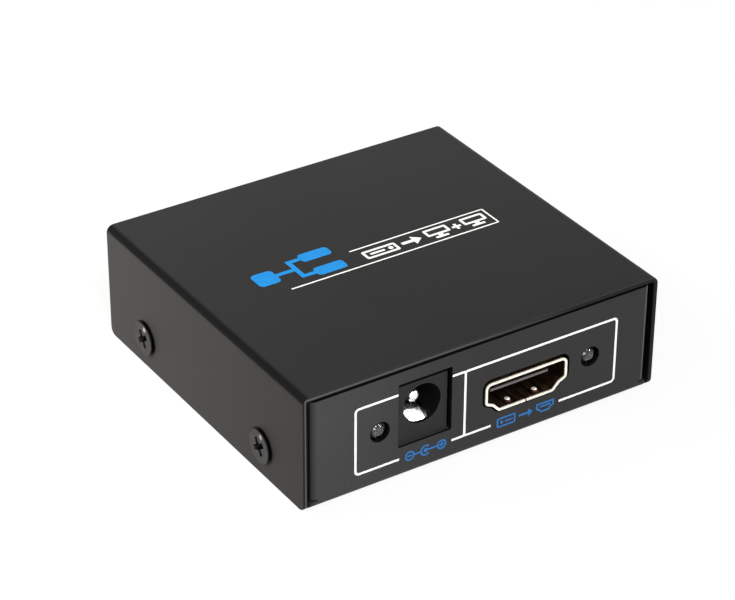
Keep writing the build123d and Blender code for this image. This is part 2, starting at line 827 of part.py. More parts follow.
def write_case():
    """The sheet-metal case with its screws and standoffs."""
    write("top_cover", [make_cover()])
    write("bottom_tray", [make_tray()])
    write("cover_screws", [place * cover_screw() for place in screw_places()])
    write("board_standoffs", [place * make_standoff() for place in standoff_places()])
    write("board_screws", [place * Pos(0, 0, board_top) * board_screw() for place in standoff_places()])
    write("circuit_board", [make_board()])


def write_sockets():
    """The three video sockets: shell, insulator and contacts of each."""
    shell = socket_shell()
    insulator = socket_insulator()
    contacts = socket_contacts()
    places = [("input", at_front, input_column)]
    places += [("output_1", at_rear, output_column), ("output_2", at_rear, -output_column)]
    for name, place, column in places:
        write(f"{name}_socket_shell", [place(shell, column, 0)])
        write(f"{name}_socket_insulator", [place(insulator, column, 0)])
        write(f"{name}_socket_contacts", [place(contact, column, 0) for contact in contacts])


def write_jack():
    """The power jack's housing and its three contacts."""
    pieces = [("housing", jack_housing()), ("centre_pin", jack_pin())]
    pieces += [("leaf_contact", jack_leaf()), ("shunt_contact", jack_shunt())]
    for name, piece in pieces:
        write(f"jack_{name}", [at_front(piece, jack_column, jack_inset)])


def write_lights():
    """The four indicator lights: lens and leads of each."""
    places = [("power", at_front, power_light_column), ("input", at_front, input_light_column)]
    places += [("output_1", at_rear, output_light_column), ("output_2", at_rear, -output_light_column)]
    for name, place, column in places:
        write(f"{name}_light_lens", [place(light_lens(), column, panel_recess)])
        write(f"{name}_light_leads", [place(lead, column, panel_recess) for lead in light_leads()])


def write_components():
    """Everything else that is soldered to the board."""
    splitter = chip_body(splitter_size, splitter_size, splitter_crown)
    small_chip = chip_body(memory_length, memory_width, memory_crown)
    regulator = chip_body(regulator_length, regulator_width, regulator_crown)
    diode = chip_body(diode_length, diode_width, diode_crown)
    write("splitter_chip", placed([splitter], [splitter_share]))
    write("splitter_chip_leads", placed(splitter_leads_all(), [splitter_share]))
    write("memory_chips", placed([small_chip], memory_shares))
    write("memory_chip_leads", placed(memory_leads_all(), memory_shares))
    write("switching_regulator", placed([small_chip], [buck_share]))
    write("switching_regulator_leads", placed(memory_leads_all(), [buck_share]))
    write("linear_regulator", placed([regulator], [regulator_share]))
    write("linear_regulator_leads", placed(regulator_leads_all(), [regulator_share]))
    write("power_diode", placed([diode], [diode_share]))
    write("power_diode_leads", placed(diode_leads_all(), [diode_share]))
    write("protection_arrays", behind_sockets([chip_body(array_length, array_width, array_crown)]))
    write("protection_array_leads", behind_sockets(array_leads_all()))
    write("power_inductor", placed([inductor_body()], [inductor_share]))
    write("inductor_terminals", placed(inductor_terminals(), [inductor_share]))
    write("capacitor_cans", placed([can_body()], can_shares))
    write("capacitor_bases", placed([can_base_body()], can_shares))
    write("crystal_lid", placed([crystal_lid()], [crystal_share]))
    write("crystal_base", placed([crystal_base()], [crystal_share]))
    write("chip_resistors", placed([passive_body(resistor_height)], resistor_shares))
    write("chip_capacitors", placed([passive_body(capacitor_height)], capacitor_shares))
    resistor_caps = placed(passive_ends(resistor_height), resistor_shares)
    capacitor_caps = placed(passive_ends(capacitor_height), capacitor_shares)
    write("chip_end_caps", resistor_caps + capacitor_caps)


def main():
    """Writes every sub-part."""
    os.makedirs("parts", exist_ok=True)
    write_case()
    write_sockets()
    write_jack()
    write_lights()
    write_components()


if __name__ == "__main__":
    main()
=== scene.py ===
"""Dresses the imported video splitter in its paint, print, metals and lenses, and sets up its studio."""

import json
import logging
import math
from collections.abc import Callable
from dataclasses import dataclass, field, replace
from enum import Enum
from functools import cached_property

import bmesh
import bpy
from bmesh.types import BMEdge, BMesh, BMFace, BMVert
from bpy.types import Material, Node, NodeSocket, NodeTree, Object
from mathutils import Matrix, Vector


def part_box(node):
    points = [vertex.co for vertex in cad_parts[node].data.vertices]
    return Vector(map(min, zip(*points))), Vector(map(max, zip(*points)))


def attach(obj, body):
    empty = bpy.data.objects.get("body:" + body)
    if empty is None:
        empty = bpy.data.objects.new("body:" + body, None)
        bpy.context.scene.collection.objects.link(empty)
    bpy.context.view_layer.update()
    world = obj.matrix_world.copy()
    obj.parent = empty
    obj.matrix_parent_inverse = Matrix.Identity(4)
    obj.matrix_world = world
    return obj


Colour = tuple[float, float, float]
Point = tuple[float, float, float]
Place = tuple[float, float]
# A limit, and the width of the soft step over it.
Step = tuple[float, float]

MM = 0.001
BODY = "root"
WHITE: Colour = (1.0, 1.0, 1.0)

# Where a noise texture is usually lowest and highest.
NOISE_RANGE: Place = (0.3, 0.7)
WIDE_RANGE: Place = (0.25, 0.75)

# How far a face is turned to an axis, from 0 to 1, to count as square to it or as half turned to it.
SQUARE_ON: Step = (0.8, 0.3)
HALF_ON: Step = (0.5, 0.2)

log = logging.getLogger("splitter")
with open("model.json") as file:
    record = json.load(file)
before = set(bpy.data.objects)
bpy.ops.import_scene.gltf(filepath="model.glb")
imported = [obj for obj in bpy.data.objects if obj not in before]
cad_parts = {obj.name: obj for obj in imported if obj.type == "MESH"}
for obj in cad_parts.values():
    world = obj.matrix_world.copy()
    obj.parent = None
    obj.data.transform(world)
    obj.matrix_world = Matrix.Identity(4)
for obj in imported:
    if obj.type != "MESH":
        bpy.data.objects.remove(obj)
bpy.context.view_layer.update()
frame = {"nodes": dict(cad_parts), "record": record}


def tinted(colour: Colour, share: float) -> Colour:
    """Gives a colour made lighter or darker by a factor."""
    return tuple(min(1.0, part * share) for part in colour)


@dataclass(frozen=True)
class Axes:
    """A vector's three numbers, and the sizes of the first two without their sign."""

    x: NodeSocket
    y: NodeSocket
    z: NodeSocket
    along: NodeSocket
    across: NodeSocket


class NodeSheet:
    """One material's nodes, added and linked by short calls."""

    def __init__(self, name: str) -> None:
        """Starts the material.

        Args:
            name: The material's name.
        """
        self.material = bpy.data.materials.new(name)
        self.material.use_nodes = True
        self.tree = self.material.node_tree
        self.shader = self.tree.nodes["Principled BSDF"]
        self.texture = self.add("ShaderNodeTexCoord")
        self.place = self.texture.outputs["Object"]

    @cached_property
    def facing(self) -> Axes:
        """Gives the way that each point faces."""
        return self.axes(self.texture.outputs["Normal"])

    @cached_property
    def at(self) -> Axes:
        """Gives each point's place."""
        return self.axes(self.place)

    def add(self, kind: str, **settings: object) -> Node:
        """Adds a node.

        Args:
            kind: The node's type.
            settings: Its properties by name.

        Returns:
            The new node.
        """
        node = self.tree.nodes.new(kind)
        for name, value in settings.items():
            setattr(node, name, value)
        return node

    def feed(self, socket: NodeSocket, value: object) -> None:
        """Links an output to a socket, or sets the socket's own number.

        Args:
            socket: The input to feed.
            value: An output socket, a number or a colour.
        """
        if isinstance(value, NodeSocket):
            self.tree.links.new(value, socket)
        elif isinstance(value, tuple) and len(value) == 3 and len(socket.default_value) == 4:
            socket.default_value = (*value, 1.0)
        else:
            socket.default_value = value

    def stretched(self, stretch: Point) -> NodeSocket:
        """Gives the object's coordinates, each multiplied by its own factor.

        Args:
            stretch: The three factors.

        Returns:
            The coordinates.
        """
        mapping = self.add("ShaderNodeMapping")
        self.feed(mapping.inputs["Vector"], self.place)
        mapping.inputs["Scale"].default_value = stretch
        return mapping.outputs["Vector"]

    def noise(self, per_metre: float, detail: float = 2.0, place: NodeSocket | None = None,
              distortion: float = 0.0) -> NodeSocket:
        """Adds a noise texture.

        Args:
            per_metre: Lumps to a metre.
            detail: How many finer layers it has.
            place: Coordinates, or None for the object's own.
            distortion: How far the lumps are drawn out.

        Returns:
            The noise as a number from 0 to 1.
        """
        node = self.add("ShaderNodeTexNoise")
        self.feed(node.inputs["Vector"], place or self.place)
        node.inputs["Scale"].default_value = per_metre
        node.inputs["Detail"].default_value = detail
        node.inputs["Distortion"].default_value = distortion
        return node.outputs["Fac"]

    def shades(self, value: NodeSocket, colour: Colour, shares: Place,
               span: Place = NOISE_RANGE) -> NodeSocket:
        """Turns a number into lighter and darker tones of one colour.

        Args:
            value: The number.
            colour: The colour.
            shares: What the colour is multiplied by at the start and at the end.
            span: The numbers at the start and at the end.

        Returns:
            The colour.
        """
        node = self.add("ShaderNodeValToRGB")
        self.feed(node.inputs["Fac"], value)
        for element, position, share in zip(node.color_ramp.elements, span, shares):
            element.position = position
            element.color = (*tinted(colour, share), 1.0)
        return node.outputs["Color"]

    def between(self, value: NodeSocket, low: float, high: float, start: float = 0.0,
                end: float = 1.0) -> NodeSocket:
        """Maps a number to another range.

        Args:
            value: The number.
            low: What it becomes at the start.
            high: What it becomes at the end.
            start: The value that becomes low.
            end: The value that becomes high.

        Returns:
            The mapped number.
        """
        node = self.add("ShaderNodeMapRange")
        self.feed(node.inputs["Value"], value)
        for name, number in (("From Min", start), ("From Max", end), ("To Min", low), ("To Max", high)):
            node.inputs[name].default_value = number
        return node.outputs["Result"]

    def spread(self, value: NodeSocket, middle: float, down: float, up: float) -> NodeSocket:
        """Gives a number that follows a noise from some way below its middle to some way above it."""
        return self.between(value, middle - down, middle + up, *NOISE_RANGE)

    def over(self, value: NodeSocket, limit: float, soft: float) -> NodeSocket:
        """Gives 1 where a number is over a limit, and else 0, with a soft step between."""
        return self.between(value, 0.0, 1.0, limit - soft / 2, limit + soft / 2)

    def under(self, value: NodeSocket, limit: float, soft: float) -> NodeSocket:
        """Gives 1 where a number is under a limit, and else 0, with a soft step between."""
        return self.between(value, 1.0, 0.0, limit - soft / 2, limit + soft / 2)

    def mixed(self, mode: str, share: object, first: object, second: object) -> NodeSocket:
        """Mixes two colours.

        Args:
            mode: The mixing mode.
            share: How much of the second is taken.
            first: The first colour.
            second: The second colour.

        Returns:
            The mixed colour.
        """
        node = self.add("ShaderNodeMix", data_type="RGBA", blend_type=mode)
        self.feed(node.inputs["Factor"], share)
        self.feed(node.inputs[6], first)
        self.feed(node.inputs[7], second)
        return node.outputs[2]

    def covered(self, mask: NodeSocket, ground: object, cover: object) -> NodeSocket:
        """Gives a ground colour with another one over it where the mask is 1."""
        return self.mixed("MIX", mask, ground, cover)

    def maths(self, kind: str, first: object, second: object = 0.0) -> NodeSocket:
        """Works out one step of arithmetic.

        Args:
            kind: The operation's name.
            first: The first number.
            second: The second number.

        Returns:
            The result.
        """
        node = self.add("ShaderNodeMath", operation=kind)
        self.feed(node.inputs[0], first)
        self.feed(node.inputs[1], second)
        return node.outputs[0]

    def all_of(self, *masks: NodeSocket) -> NodeSocket:
        """Gives the masks' product.

        Args:
            masks: Numbers from 0 to 1.

        Returns:
            Their product.
        """
        product = masks[0]
        for mask in masks[1:]:
            product = self.maths("MULTIPLY", product, mask)
        return product

    def axes(self, vector: NodeSocket) -> Axes:
        """Takes a vector apart.

        Args:
            vector: The vector.

        Returns:
            Its numbers.
        """
        parts = self.add("ShaderNodeSeparateXYZ")
        self.feed(parts.inputs[0], vector)
        x, y, z = (parts.outputs[name] for name in "XYZ")
        return Axes(x, y, z, self.maths("ABSOLUTE", x), self.maths("ABSOLUTE", y))

    def reach(self, first: NodeSocket, second: NodeSocket, middle: Place) -> NodeSocket:
        """Measures the distance from an axis.

        Args:
            first: One coordinate across the axis.
            second: The other one.
            middle: Where the axis is, in metres.

        Returns:
            The distance.
        """
        steps = [self.maths("SUBTRACT", value, at) for value, at in zip((first, second), middle)]
        squares = [self.maths("MULTIPLY", step, step) for step in steps]
        return self.maths("SQRT", self.maths("ADD", *squares))

    def relief(self, height: NodeSocket, depth: float, under: NodeSocket | None = None) -> NodeSocket:
        """Adds a bump.

        Args:
            height: The height map.
            depth: How deep it is, in metres.
            under: A coarser bump that it lies on, or None.

        Returns:
            The bumped normal.
        """
        node = self.add("ShaderNodeBump")
        self.feed(node.inputs["Height"], height)
        node.inputs["Distance"].default_value = depth
        if under:
            self.feed(node.inputs["Normal"], under)
        return node.outputs["Normal"]

    def finish(self, **sockets: object) -> Material:
        """Feeds the shader's sockets.

        Args:
            sockets: Values by socket name, with underscores for spaces.

        Returns:
            The finished material.
        """
        for name, value in sockets.items():
            self.feed(self.shader.inputs[name.replace("_", " ")], value)
        return self.material


class SheetPaintedLight(Enum):
    """The zones of the powder-coated sheets with painted light and shade, each laid over those before it."""

    # Painted light: the side walls are made lighter than the roof.
    SIDE = "the faces that look left and right"
    # Painted shade: the outer folds at the roof are darkened.
    FOLD = "the outer folds at the roof"
    # Painted shade: the faces inside the cover are darkened.
    INNER = "what lies inside the cover"
    # Painted highlight on the panels' folds that look right.
    UPRIGHT = "the panels' folds that look right"
    # Painted highlight along the cover's sheared front and rear edges.
    EDGE = "the cover's sheared front and rear edges"
    # Painted shade: a dark line along the inner part of those edges.
    LIP = "the inner part of those edges"
    # Painted shade on the panels' left ends.
    LEFT = "the panels' left ends"
    # Painted shade: the faces that look into the seam are made nearly black.
    GAP = "the faces that look left into the seam between panel and cover"
    # Painted shade: the panels' upper edges are made nearly black.
    CREST = "the panels' upper edges"
    # Painted shadow: a dark ring on the wall about each screw head.
    RING = "the countersinks about the screws"
    # Painted shade: the walls of the punched openings, but not their sills, are made nearly black.
    HOLE = "the walls of the punched openings"


@dataclass(frozen=True)
class PowderCoat:
    """Fine matte powder paint on folded steel, with painted light and shade in the zones with a share."""

    name: str
    colour: Colour
    # What the colour is multiplied by in each zone: painted light above 1, painted shade below 1.
    shares: dict[SheetPaintedLight, float]
    # Painted light: how much lighter the colour is made at the left end, fading to none at the middle.
    drift: float
    # Painted light: what the colour is multiplied by at the front and at the rear.
    rear_drift: Place = (1.0, 1.0)
    drift_reach: float = 30.0 * MM
    roughness: float = 0.5
    rough_spread: Place = (0.05, 0.07)
    specular: float = 0.1
    cloud_per_metre: float = 55.0
    cloud_shares: Place = (0.9, 1.1)
    grain_per_metre: float = 4200.0
    grain_depth: float = 0.016 * MM
    grain_shares: Place = (0.84, 1.0)
    peel_per_metre: float = 900.0
    peel_depth: float = 0.01 * MM
    fold_turn: Step = (0.27, 0.2)
    inner_side: Step = (30.7 * MM, 0.1 * MM)
    inner_roof: Step = (18.85 * MM, 0.1 * MM)
    upright_turn: Step = (0.35, 0.2)
    upright_slant: Step = (0.4, 0.2)
    edge_top: Step = (19.27 * MM, 0.1 * MM)
    edge_left: Step = (-31.0 * MM, 0.1 * MM)
    edge_fade: Place = (-4.0 * MM, 16.0 * MM)
    lip_top: Step = (18.93 * MM, 0.08 * MM)
    lip_left: Step = (-30.78 * MM, 0.08 * MM)
    left_end: Step = (-29.3 * MM, 0.9 * MM)
    gap_turn: Step = (-0.75, 0.2)
    ear_front: Step = (27.0 * MM, 0.05 * MM)
    crest_level: Step = (17.5 * MM, 0.1 * MM)
    ring_axis: Place = (17.3 * MM, 5.2 * MM)
    ring_reach: Step = (2.95 * MM, 0.1 * MM)
    panel_back: Step = (27.9 * MM, 0.05 * MM)
    panel_half: Step = (28.0 * MM, 0.2 * MM)
    fold_top: Step = (2.4 * MM, 0.4 * MM)
    sill_top: Step = (12.0 * MM, 0.1 * MM)
    sill_half: Step = (16.5 * MM, 0.1 * MM)
    sill_edge: Step = (28.22 * MM, 0.05 * MM)

    def zone(self, zone: SheetPaintedLight, sheet: NodeSheet) -> NodeSocket:
        """Tells where a zone of painted light or shade lies.

        Args:
            zone: The zone.
            sheet: The material's nodes.

        Returns:
            1 in the zone, and else 0.
        """
        facing, at, over, under = sheet.facing, sheet.at, sheet.over, sheet.under
        match zone:
            case SheetPaintedLight.SIDE:
                parts = [over(facing.along, *SQUARE_ON)]
            case SheetPaintedLight.FOLD:
                parts = [over(sheet.maths("MULTIPLY", facing.along, facing.z), *self.fold_turn)]
            case SheetPaintedLight.INNER:
                parts = [under(at.along, *self.inner_side), under(at.z, *self.inner_roof)]
            case SheetPaintedLight.UPRIGHT:
                parts = [over(facing.x, *self.upright_turn), over(facing.across, *self.upright_slant),
                         over(at.across, *self.panel_back)]
            case SheetPaintedLight.EDGE | SheetPaintedLight.LIP:
                whole = zone is SheetPaintedLight.EDGE
                top, left = (self.edge_top, self.edge_left) if whole else (self.lip_top, self.lip_left)
                parts = [over(facing.across, *SQUARE_ON), under(at.z, *top), over(at.x, *left),
                         sheet.between(at.x, 1.0, 0.0, *self.edge_fade)]
            case SheetPaintedLight.LEFT:
                parts = [under(at.x, *self.left_end), over(at.across, *self.panel_back)]
            case SheetPaintedLight.GAP:
                parts = [under(facing.x, *self.gap_turn), over(at.across, *self.ear_front)]
            case SheetPaintedLight.CREST:
                parts = [over(facing.z, *HALF_ON), over(at.z, *self.crest_level)]
            case SheetPaintedLight.RING:
                parts = [over(facing.along, *SQUARE_ON),
                         under(sheet.reach(at.across, at.z, self.ring_axis), *self.ring_reach)]
            case SheetPaintedLight.HOLE:
                sill = sheet.all_of(over(facing.z, *HALF_ON), under(at.z, *self.sill_top),
                                    under(at.along, *self.sill_half), under(at.across, *self.sill_edge))
                parts = [under(facing.across, *HALF_ON), sheet.maths("SUBTRACT", 1.0, sill),
                         over(at.across, *self.panel_back), under(at.along, *self.panel_half),
                         over(at.z, *self.fold_top)]
        return sheet.all_of(*parts)

    def drifted(self, sheet: NodeSheet, colour: NodeSocket) -> NodeSocket:
        """Paints light into a colour: lighter towards the left end, and scaled from front to rear.

        Args:
            sheet: The material's nodes.
            colour: The colour.

        Returns:
            The colour with the painted light.
        """
        reach = self.drift_reach
        painted_light = sheet.maths("MULTIPLY", sheet.between(sheet.at.x, 1.0 + self.drift, 1.0, -reach, 0.0),
                           sheet.between(sheet.at.y, *self.rear_drift, -reach, reach))
        scaled = sheet.add("ShaderNodeVectorMath", operation="SCALE")
        sheet.feed(scaled.inputs[0], colour)
        sheet.feed(scaled.inputs["Scale"], painted_light)
        return scaled.outputs[0]

    def make(self) -> Material:
        """Builds the material: cloudy tone, fine grain, orange peel, and painted light and shade.

        Returns:
            The material.
        """
        sheet = NodeSheet(self.name)
        grain = sheet.noise(self.grain_per_metre, detail=3.0)
        speck = sheet.shades(grain, WHITE, self.grain_shares)
        cloud = sheet.noise(self.cloud_per_metre, detail=4.0)
        tone = sheet.shades(cloud, self.colour, self.cloud_shares, WIDE_RANGE)
        colour = sheet.mixed("MULTIPLY", 1.0, tone, speck)
        # Painted light and shade: each zone with a share gets the paint's colour made lighter or darker.
        for zone in SheetPaintedLight:
            if zone in self.shares:
                own = sheet.mixed("MULTIPLY", 1.0, speck, tinted(self.colour, self.shares[zone]))
                colour = sheet.covered(self.zone(zone, sheet), colour, own)
        peel = sheet.relief(sheet.noise(self.peel_per_metre), self.peel_depth)
        return sheet.finish(Base_Color=self.drifted(sheet, colour), Specular_IOR_Level=self.specular,
                            Roughness=sheet.spread(grain, self.roughness, *self.rough_spread),
                            Normal=sheet.relief(grain, self.grain_depth, peel))


@dataclass(frozen=True)
class TurnedSteel:
    """A screw's blackened or zinc-plated steel, with fine rings turned on the side screws' heads."""

    name: str
    colour: Colour
    metallic: float
    roughness: float
    specular: float = 0.5
    # Painted shade: what the colour is multiplied by off the head's flat face, in the recess and on the rim.
    recess_share: float = 1.0
    # Painted highlight: a pale spot on each black screw head above its recess.
    rub_colour: Colour | None = None
    tone_shares: Place = (0.75, 1.2)
    rough_spread: Place = (0.06, 0.1)
    head_face: Step = (31.74 * MM, 0.06 * MM)
    axis: Place = (17.3 * MM, 5.2 * MM)
    rings_per_metre: float = 7000.0
    ring_depth: float = 0.005 * MM
    blotch_per_metre: float = 900.0
    skin_per_metre: float = 6000.0
    rub_place: Place = (-0.68 * MM, 1.95 * MM)
    rub_reach: Step = (0.34 * MM, 0.4 * MM)
    rub_patch: Step = (0.45, 0.3)

    def make(self) -> Material:
        """Builds the material: rings about each side screw, a blotchy skin, painted shade and a painted
        highlight.

        Returns:
            The material.
        """
        sheet = NodeSheet(self.name)
        at = sheet.at
        reach = sheet.reach(at.across, at.z, self.axis)
        rings = sheet.maths("SINE", sheet.maths("MULTIPLY", reach, self.rings_per_metre * math.tau))
        blotch = sheet.noise(self.blotch_per_metre, detail=4.0)
        tone = sheet.shades(blotch, self.colour, self.tone_shares)
        flat = sheet.all_of(sheet.over(sheet.facing.along, *SQUARE_ON),
                            sheet.over(at.along, *self.head_face))
        # Painted shade off the head's flat face: the cross recess and the head's rim are darkened.
        if self.recess_share != 1.0:
            tone = sheet.covered(flat, tinted(self.colour, self.recess_share), tone)
        # Painted highlight: a pale patch on the head's face, up and forward of the recess.
        if self.rub_colour:
            row, level = self.axis
            outward = sheet.maths("SUBTRACT", at.across, row)
            aside = sheet.maths("MULTIPLY", outward, sheet.maths("SIGN", at.y))
            away = sheet.reach(aside, sheet.maths("SUBTRACT", at.z, level), self.rub_place)
            painted_highlight = sheet.all_of(flat, sheet.under(away, *self.rub_reach), sheet.over(blotch, *self.rub_patch))
            tone = sheet.covered(painted_highlight, tone, self.rub_colour)
        skin = sheet.relief(sheet.noise(self.skin_per_metre), self.ring_depth)
        return sheet.finish(Base_Color=tone, Metallic=self.metallic, Specular_IOR_Level=self.specular,
                            Roughness=sheet.spread(blotch, self.roughness, *self.rough_spread),
                            Normal=sheet.relief(rings, self.ring_depth, skin))


@dataclass(frozen=True)
class Plating:
    """Drawn or plated metal, with streaks along one direction and a blotchy skin."""

    name: str
    colour: Colour
    roughness: float
    rough_spread: Place = (0.07, 0.09)
    streak: Point = (1.0, 0.12, 1.0)
    streaks_per_metre: float = 5200.0
    streak_depth: float = 0.004 * MM
    blotch_per_metre: float = 420.0
    dull_share: float = 0.8
    bright_end: Step | None = None
    shade_share: float = 0.08

    def make(self) -> Material:
        """Builds the material: streaks, an uneven tone, and shade beyond the bright end where there is one.

        Returns:
            The material.
        """
        sheet = NodeSheet(self.name)
        drawn = sheet.noise(self.streaks_per_metre, detail=3.0, place=sheet.stretched(self.streak))
        blotch = sheet.noise(self.blotch_per_metre, detail=4.0)
        tone = sheet.shades(blotch, self.colour, (self.dull_share, 1.0))
        if self.bright_end:
            shade = sheet.over(sheet.at.x, *self.bright_end)
            tone = sheet.covered(shade, tone, tinted(self.colour, self.shade_share))
        return sheet.finish(Base_Color=tone, Metallic=1.0,
                            Roughness=sheet.spread(drawn, self.roughness, *self.rough_spread),
                            Normal=sheet.relief(drawn, self.streak_depth))


@dataclass(frozen=True)
class ShellPlating:
    """A video socket's nickel shell: bright nickel at its mouth and on the dimples, painted shade elsewhere.
    """

    name: str = "shell_metal"
    bright: Colour = (0.98, 0.93, 0.82)
    bright_shares: Place = (0.93, 1.0)
    bright_metallic: float = 0.5
    # Painted shade: the dark brown given to the shell everywhere but its mouth and dimples.
    dull: Colour = (0.03, 0.016, 0.01)
    dull_shares: Place = (0.6, 1.3)
    dull_roughness: float = 0.25
    roughness: float = 0.28
    rough_spread: Place = (0.05, 0.08)
    mouth: Step = (28.62 * MM, 0.12 * MM)
    dimple_turn: Step = (0.8, 0.04)
    dimple_low: Step = (6.02 * MM, 0.03 * MM)
    dimple_high: Step = (6.5 * MM, 0.05 * MM)
    dimple_end: Step = (26.4 * MM, 0.1 * MM)
    skin_per_metre: float = 900.0
    skin_depth: float = 0.004 * MM

    def make(self) -> Material:
        """Builds the material: bright nickel and painted shade by place, and a soft uneven skin.

        Returns:
            The material.
        """
        sheet = NodeSheet(self.name)
        at = sheet.at
        dimple = sheet.all_of(sheet.over(sheet.facing.z, *self.dimple_turn),
                              sheet.over(at.z, *self.dimple_low), sheet.under(at.z, *self.dimple_high),
                              sheet.over(at.across, *self.dimple_end))
        # Where the shell keeps its bright nickel: the mouth and the dimples; everything else gets the painted
        # shade.
        outside_painted_shade = sheet.maths("MAXIMUM", sheet.over(at.across, *self.mouth), dimple)
        skin = sheet.noise(self.skin_per_metre, detail=3.0)
        tone = sheet.covered(outside_painted_shade, sheet.shades(skin, self.dull, self.dull_shares),
                             sheet.shades(skin, self.bright, self.bright_shares))
        rough = sheet.maths("ADD", sheet.spread(skin, self.roughness, *self.rough_spread),
                            sheet.between(outside_painted_shade, self.dull_roughness, 0.0))
        return sheet.finish(Base_Color=tone, Metallic=sheet.between(outside_painted_shade, 1.0, self.bright_metallic),
                            Roughness=rough, Normal=sheet.relief(skin, self.skin_depth))


class MouldPaintedLight(Enum):
    """The zones of a moulding with painted light and shade, each laid over those before it."""

    # Painted light: the lower front and rear faces are made lighter.
    FRONT = "the lower part of the front and rear faces"
    # Painted highlight on the slopes that look right.
    RIM = "the slopes that look right"
    # Painted shade on what looks up.
    TOP = "what looks up"
    # Painted shade inside the power jack's bore.
    BORE = "the power jack's bore"


@dataclass(frozen=True)
class Moulded:
    """Moulded plastic or fired ceramic, with the fine skin of a spark-eroded mould."""

    name: str
    colour: Colour
    roughness: float
    skin_per_metre: float = 5600.0
    skin_depth: float = 0.012 * MM
    rough_spread: Place = (0.08, 0.08)
    coat: float = 0.0
    specular: float = 0.3
    flow_per_metre: float = 160.0
    flow_drawn: float = 1.5
    flow_shares: Place = (0.85, 1.15)
    # What the colour is multiplied by in each zone: painted light above 1, painted shade below 1.
    shares: dict[MouldPaintedLight, float] = field(default_factory=dict)
    matt: tuple[MouldPaintedLight, ...] = (MouldPaintedLight.TOP, MouldPaintedLight.BORE)
    face_turn: Step = (0.85, 0.1)
    front_top: Step = (8.36 * MM, 0.1 * MM)
    slope_end: Step = (0.85, 0.2)
    slope_turn: Step = (0.4, 0.1)
    bore_axis: Place = (-10.5 * MM, 11.1 * MM)
    bore_reach: Step = (3.24 * MM, 0.06 * MM)

    def zone(self, zone: MouldPaintedLight, sheet: NodeSheet) -> NodeSocket:
        """Tells where a zone of painted light or shade lies.

        Args:
            zone: The zone.
            sheet: The material's nodes.

        Returns:
            1 in the zone, and else 0.
        """
        facing, at, over, under = sheet.facing, sheet.at, sheet.over, sheet.under
        match zone:
            case MouldPaintedLight.FRONT:
                parts = [over(facing.across, *self.face_turn), under(at.z, *self.front_top)]
            case MouldPaintedLight.RIM:
                parts = [over(facing.across, *HALF_ON), under(facing.across, *self.slope_end),
                         over(facing.x, *self.slope_turn)]
            case MouldPaintedLight.TOP:
                parts = [over(facing.z, *self.slope_turn)]
            case MouldPaintedLight.BORE:
                parts = [under(sheet.reach(at.x, at.z, self.bore_axis), *self.bore_reach)]
        return sheet.all_of(*parts)

    def make(self) -> Material:
        """Builds the material: fine skin, faint flow marks, uneven gloss and the zones' painted light and
        shade.

        Returns:
            The material.
        """
        sheet = NodeSheet(self.name)
        skin = sheet.noise(self.skin_per_metre, detail=3.0)
        flow = sheet.noise(self.flow_per_metre, detail=3.0, distortion=self.flow_drawn)
        tone = sheet.shades(flow, self.colour, self.flow_shares, WIDE_RANGE)
        rough = sheet.spread(skin, self.roughness, *self.rough_spread)
        # Painted light and shade: each zone with a share gets the colour made lighter or darker.
        for zone in MouldPaintedLight:
            if zone in self.shares:
                mask = self.zone(zone, sheet)
                tone = sheet.covered(mask, tone, tinted(self.colour, self.shares[zone]))
                if zone in self.matt:
                    rough = sheet.maths("MAXIMUM", rough, mask)
        normal = sheet.relief(skin, self.skin_depth, sheet.relief(flow, self.skin_depth))
        return sheet.finish(Base_Color=tone, Roughness=rough, Normal=normal, Coat_Weight=self.coat,
                            Specular_IOR_Level=self.specular)


@dataclass(frozen=True)
class SolderMask:
    """The circuit board's lacquer over its copper lines and vias."""

    name: str = "board_lacquer"
    colour: Colour = (0.003, 0.028, 0.012)
    copper: Colour = (0.01, 0.065, 0.027)
    copper_depth: float = 0.03 * MM
    lines_per_metre: float = 700.0
    line_shift: float = 0.37
    line_squash: float = 0.6
    line_width: float = 0.035
    line_soft: float = 0.2
    vias_per_metre: float = 420.0
    via_rim: Place = (0.1, 0.16)
    grounds_per_metre: float = 90.0
    ground_rim: Place = (0.47, 0.5)
    weaves_per_metre: float = 2200.0
    weave_stretch: Point = (1.0, 0.3, 1.0)
    weave_shares: Place = (0.82, 1.0)
    gloss: Place = (0.2, 0.34)
    coat: float = 0.4

    def make(self) -> Material:
        """Builds the material: lines in both directions, vias, ground areas, weave and a glossy lacquer.

        Returns:
            The material.
        """
        sheet = NodeSheet(self.name)
        lines = sheet.add("ShaderNodeTexBrick", offset=self.line_shift, squash=self.line_squash)
        cells = sheet.add("ShaderNodeTexVoronoi")
        for texture, per_metre in ((lines, self.lines_per_metre), (cells, self.vias_per_metre)):
            sheet.feed(texture.inputs["Vector"], sheet.place)
            texture.inputs["Scale"].default_value = per_metre
        lines.inputs["Mortar Size"].default_value = self.line_width
        lines.inputs["Mortar Smooth"].default_value = self.line_soft
        via = sheet.between(cells.outputs["Distance"], 1.0, 0.0, *self.via_rim)
        ground = sheet.between(sheet.noise(self.grounds_per_metre, detail=1.0), 0.0, 1.0, *self.ground_rim)
        raised = sheet.maths("MAXIMUM", sheet.maths("MAXIMUM", lines.outputs["Fac"], via), ground)
        weave = sheet.noise(self.weaves_per_metre, detail=1.0, place=sheet.stretched(self.weave_stretch))
        tone = sheet.mixed("MULTIPLY", 1.0, sheet.covered(raised, self.colour, self.copper),
                           sheet.shades(weave, WHITE, self.weave_shares))
        return sheet.finish(Base_Color=tone, Roughness=sheet.between(weave, *self.gloss, *NOISE_RANGE),
                            Normal=sheet.relief(raised, self.copper_depth), Coat_Weight=self.coat)


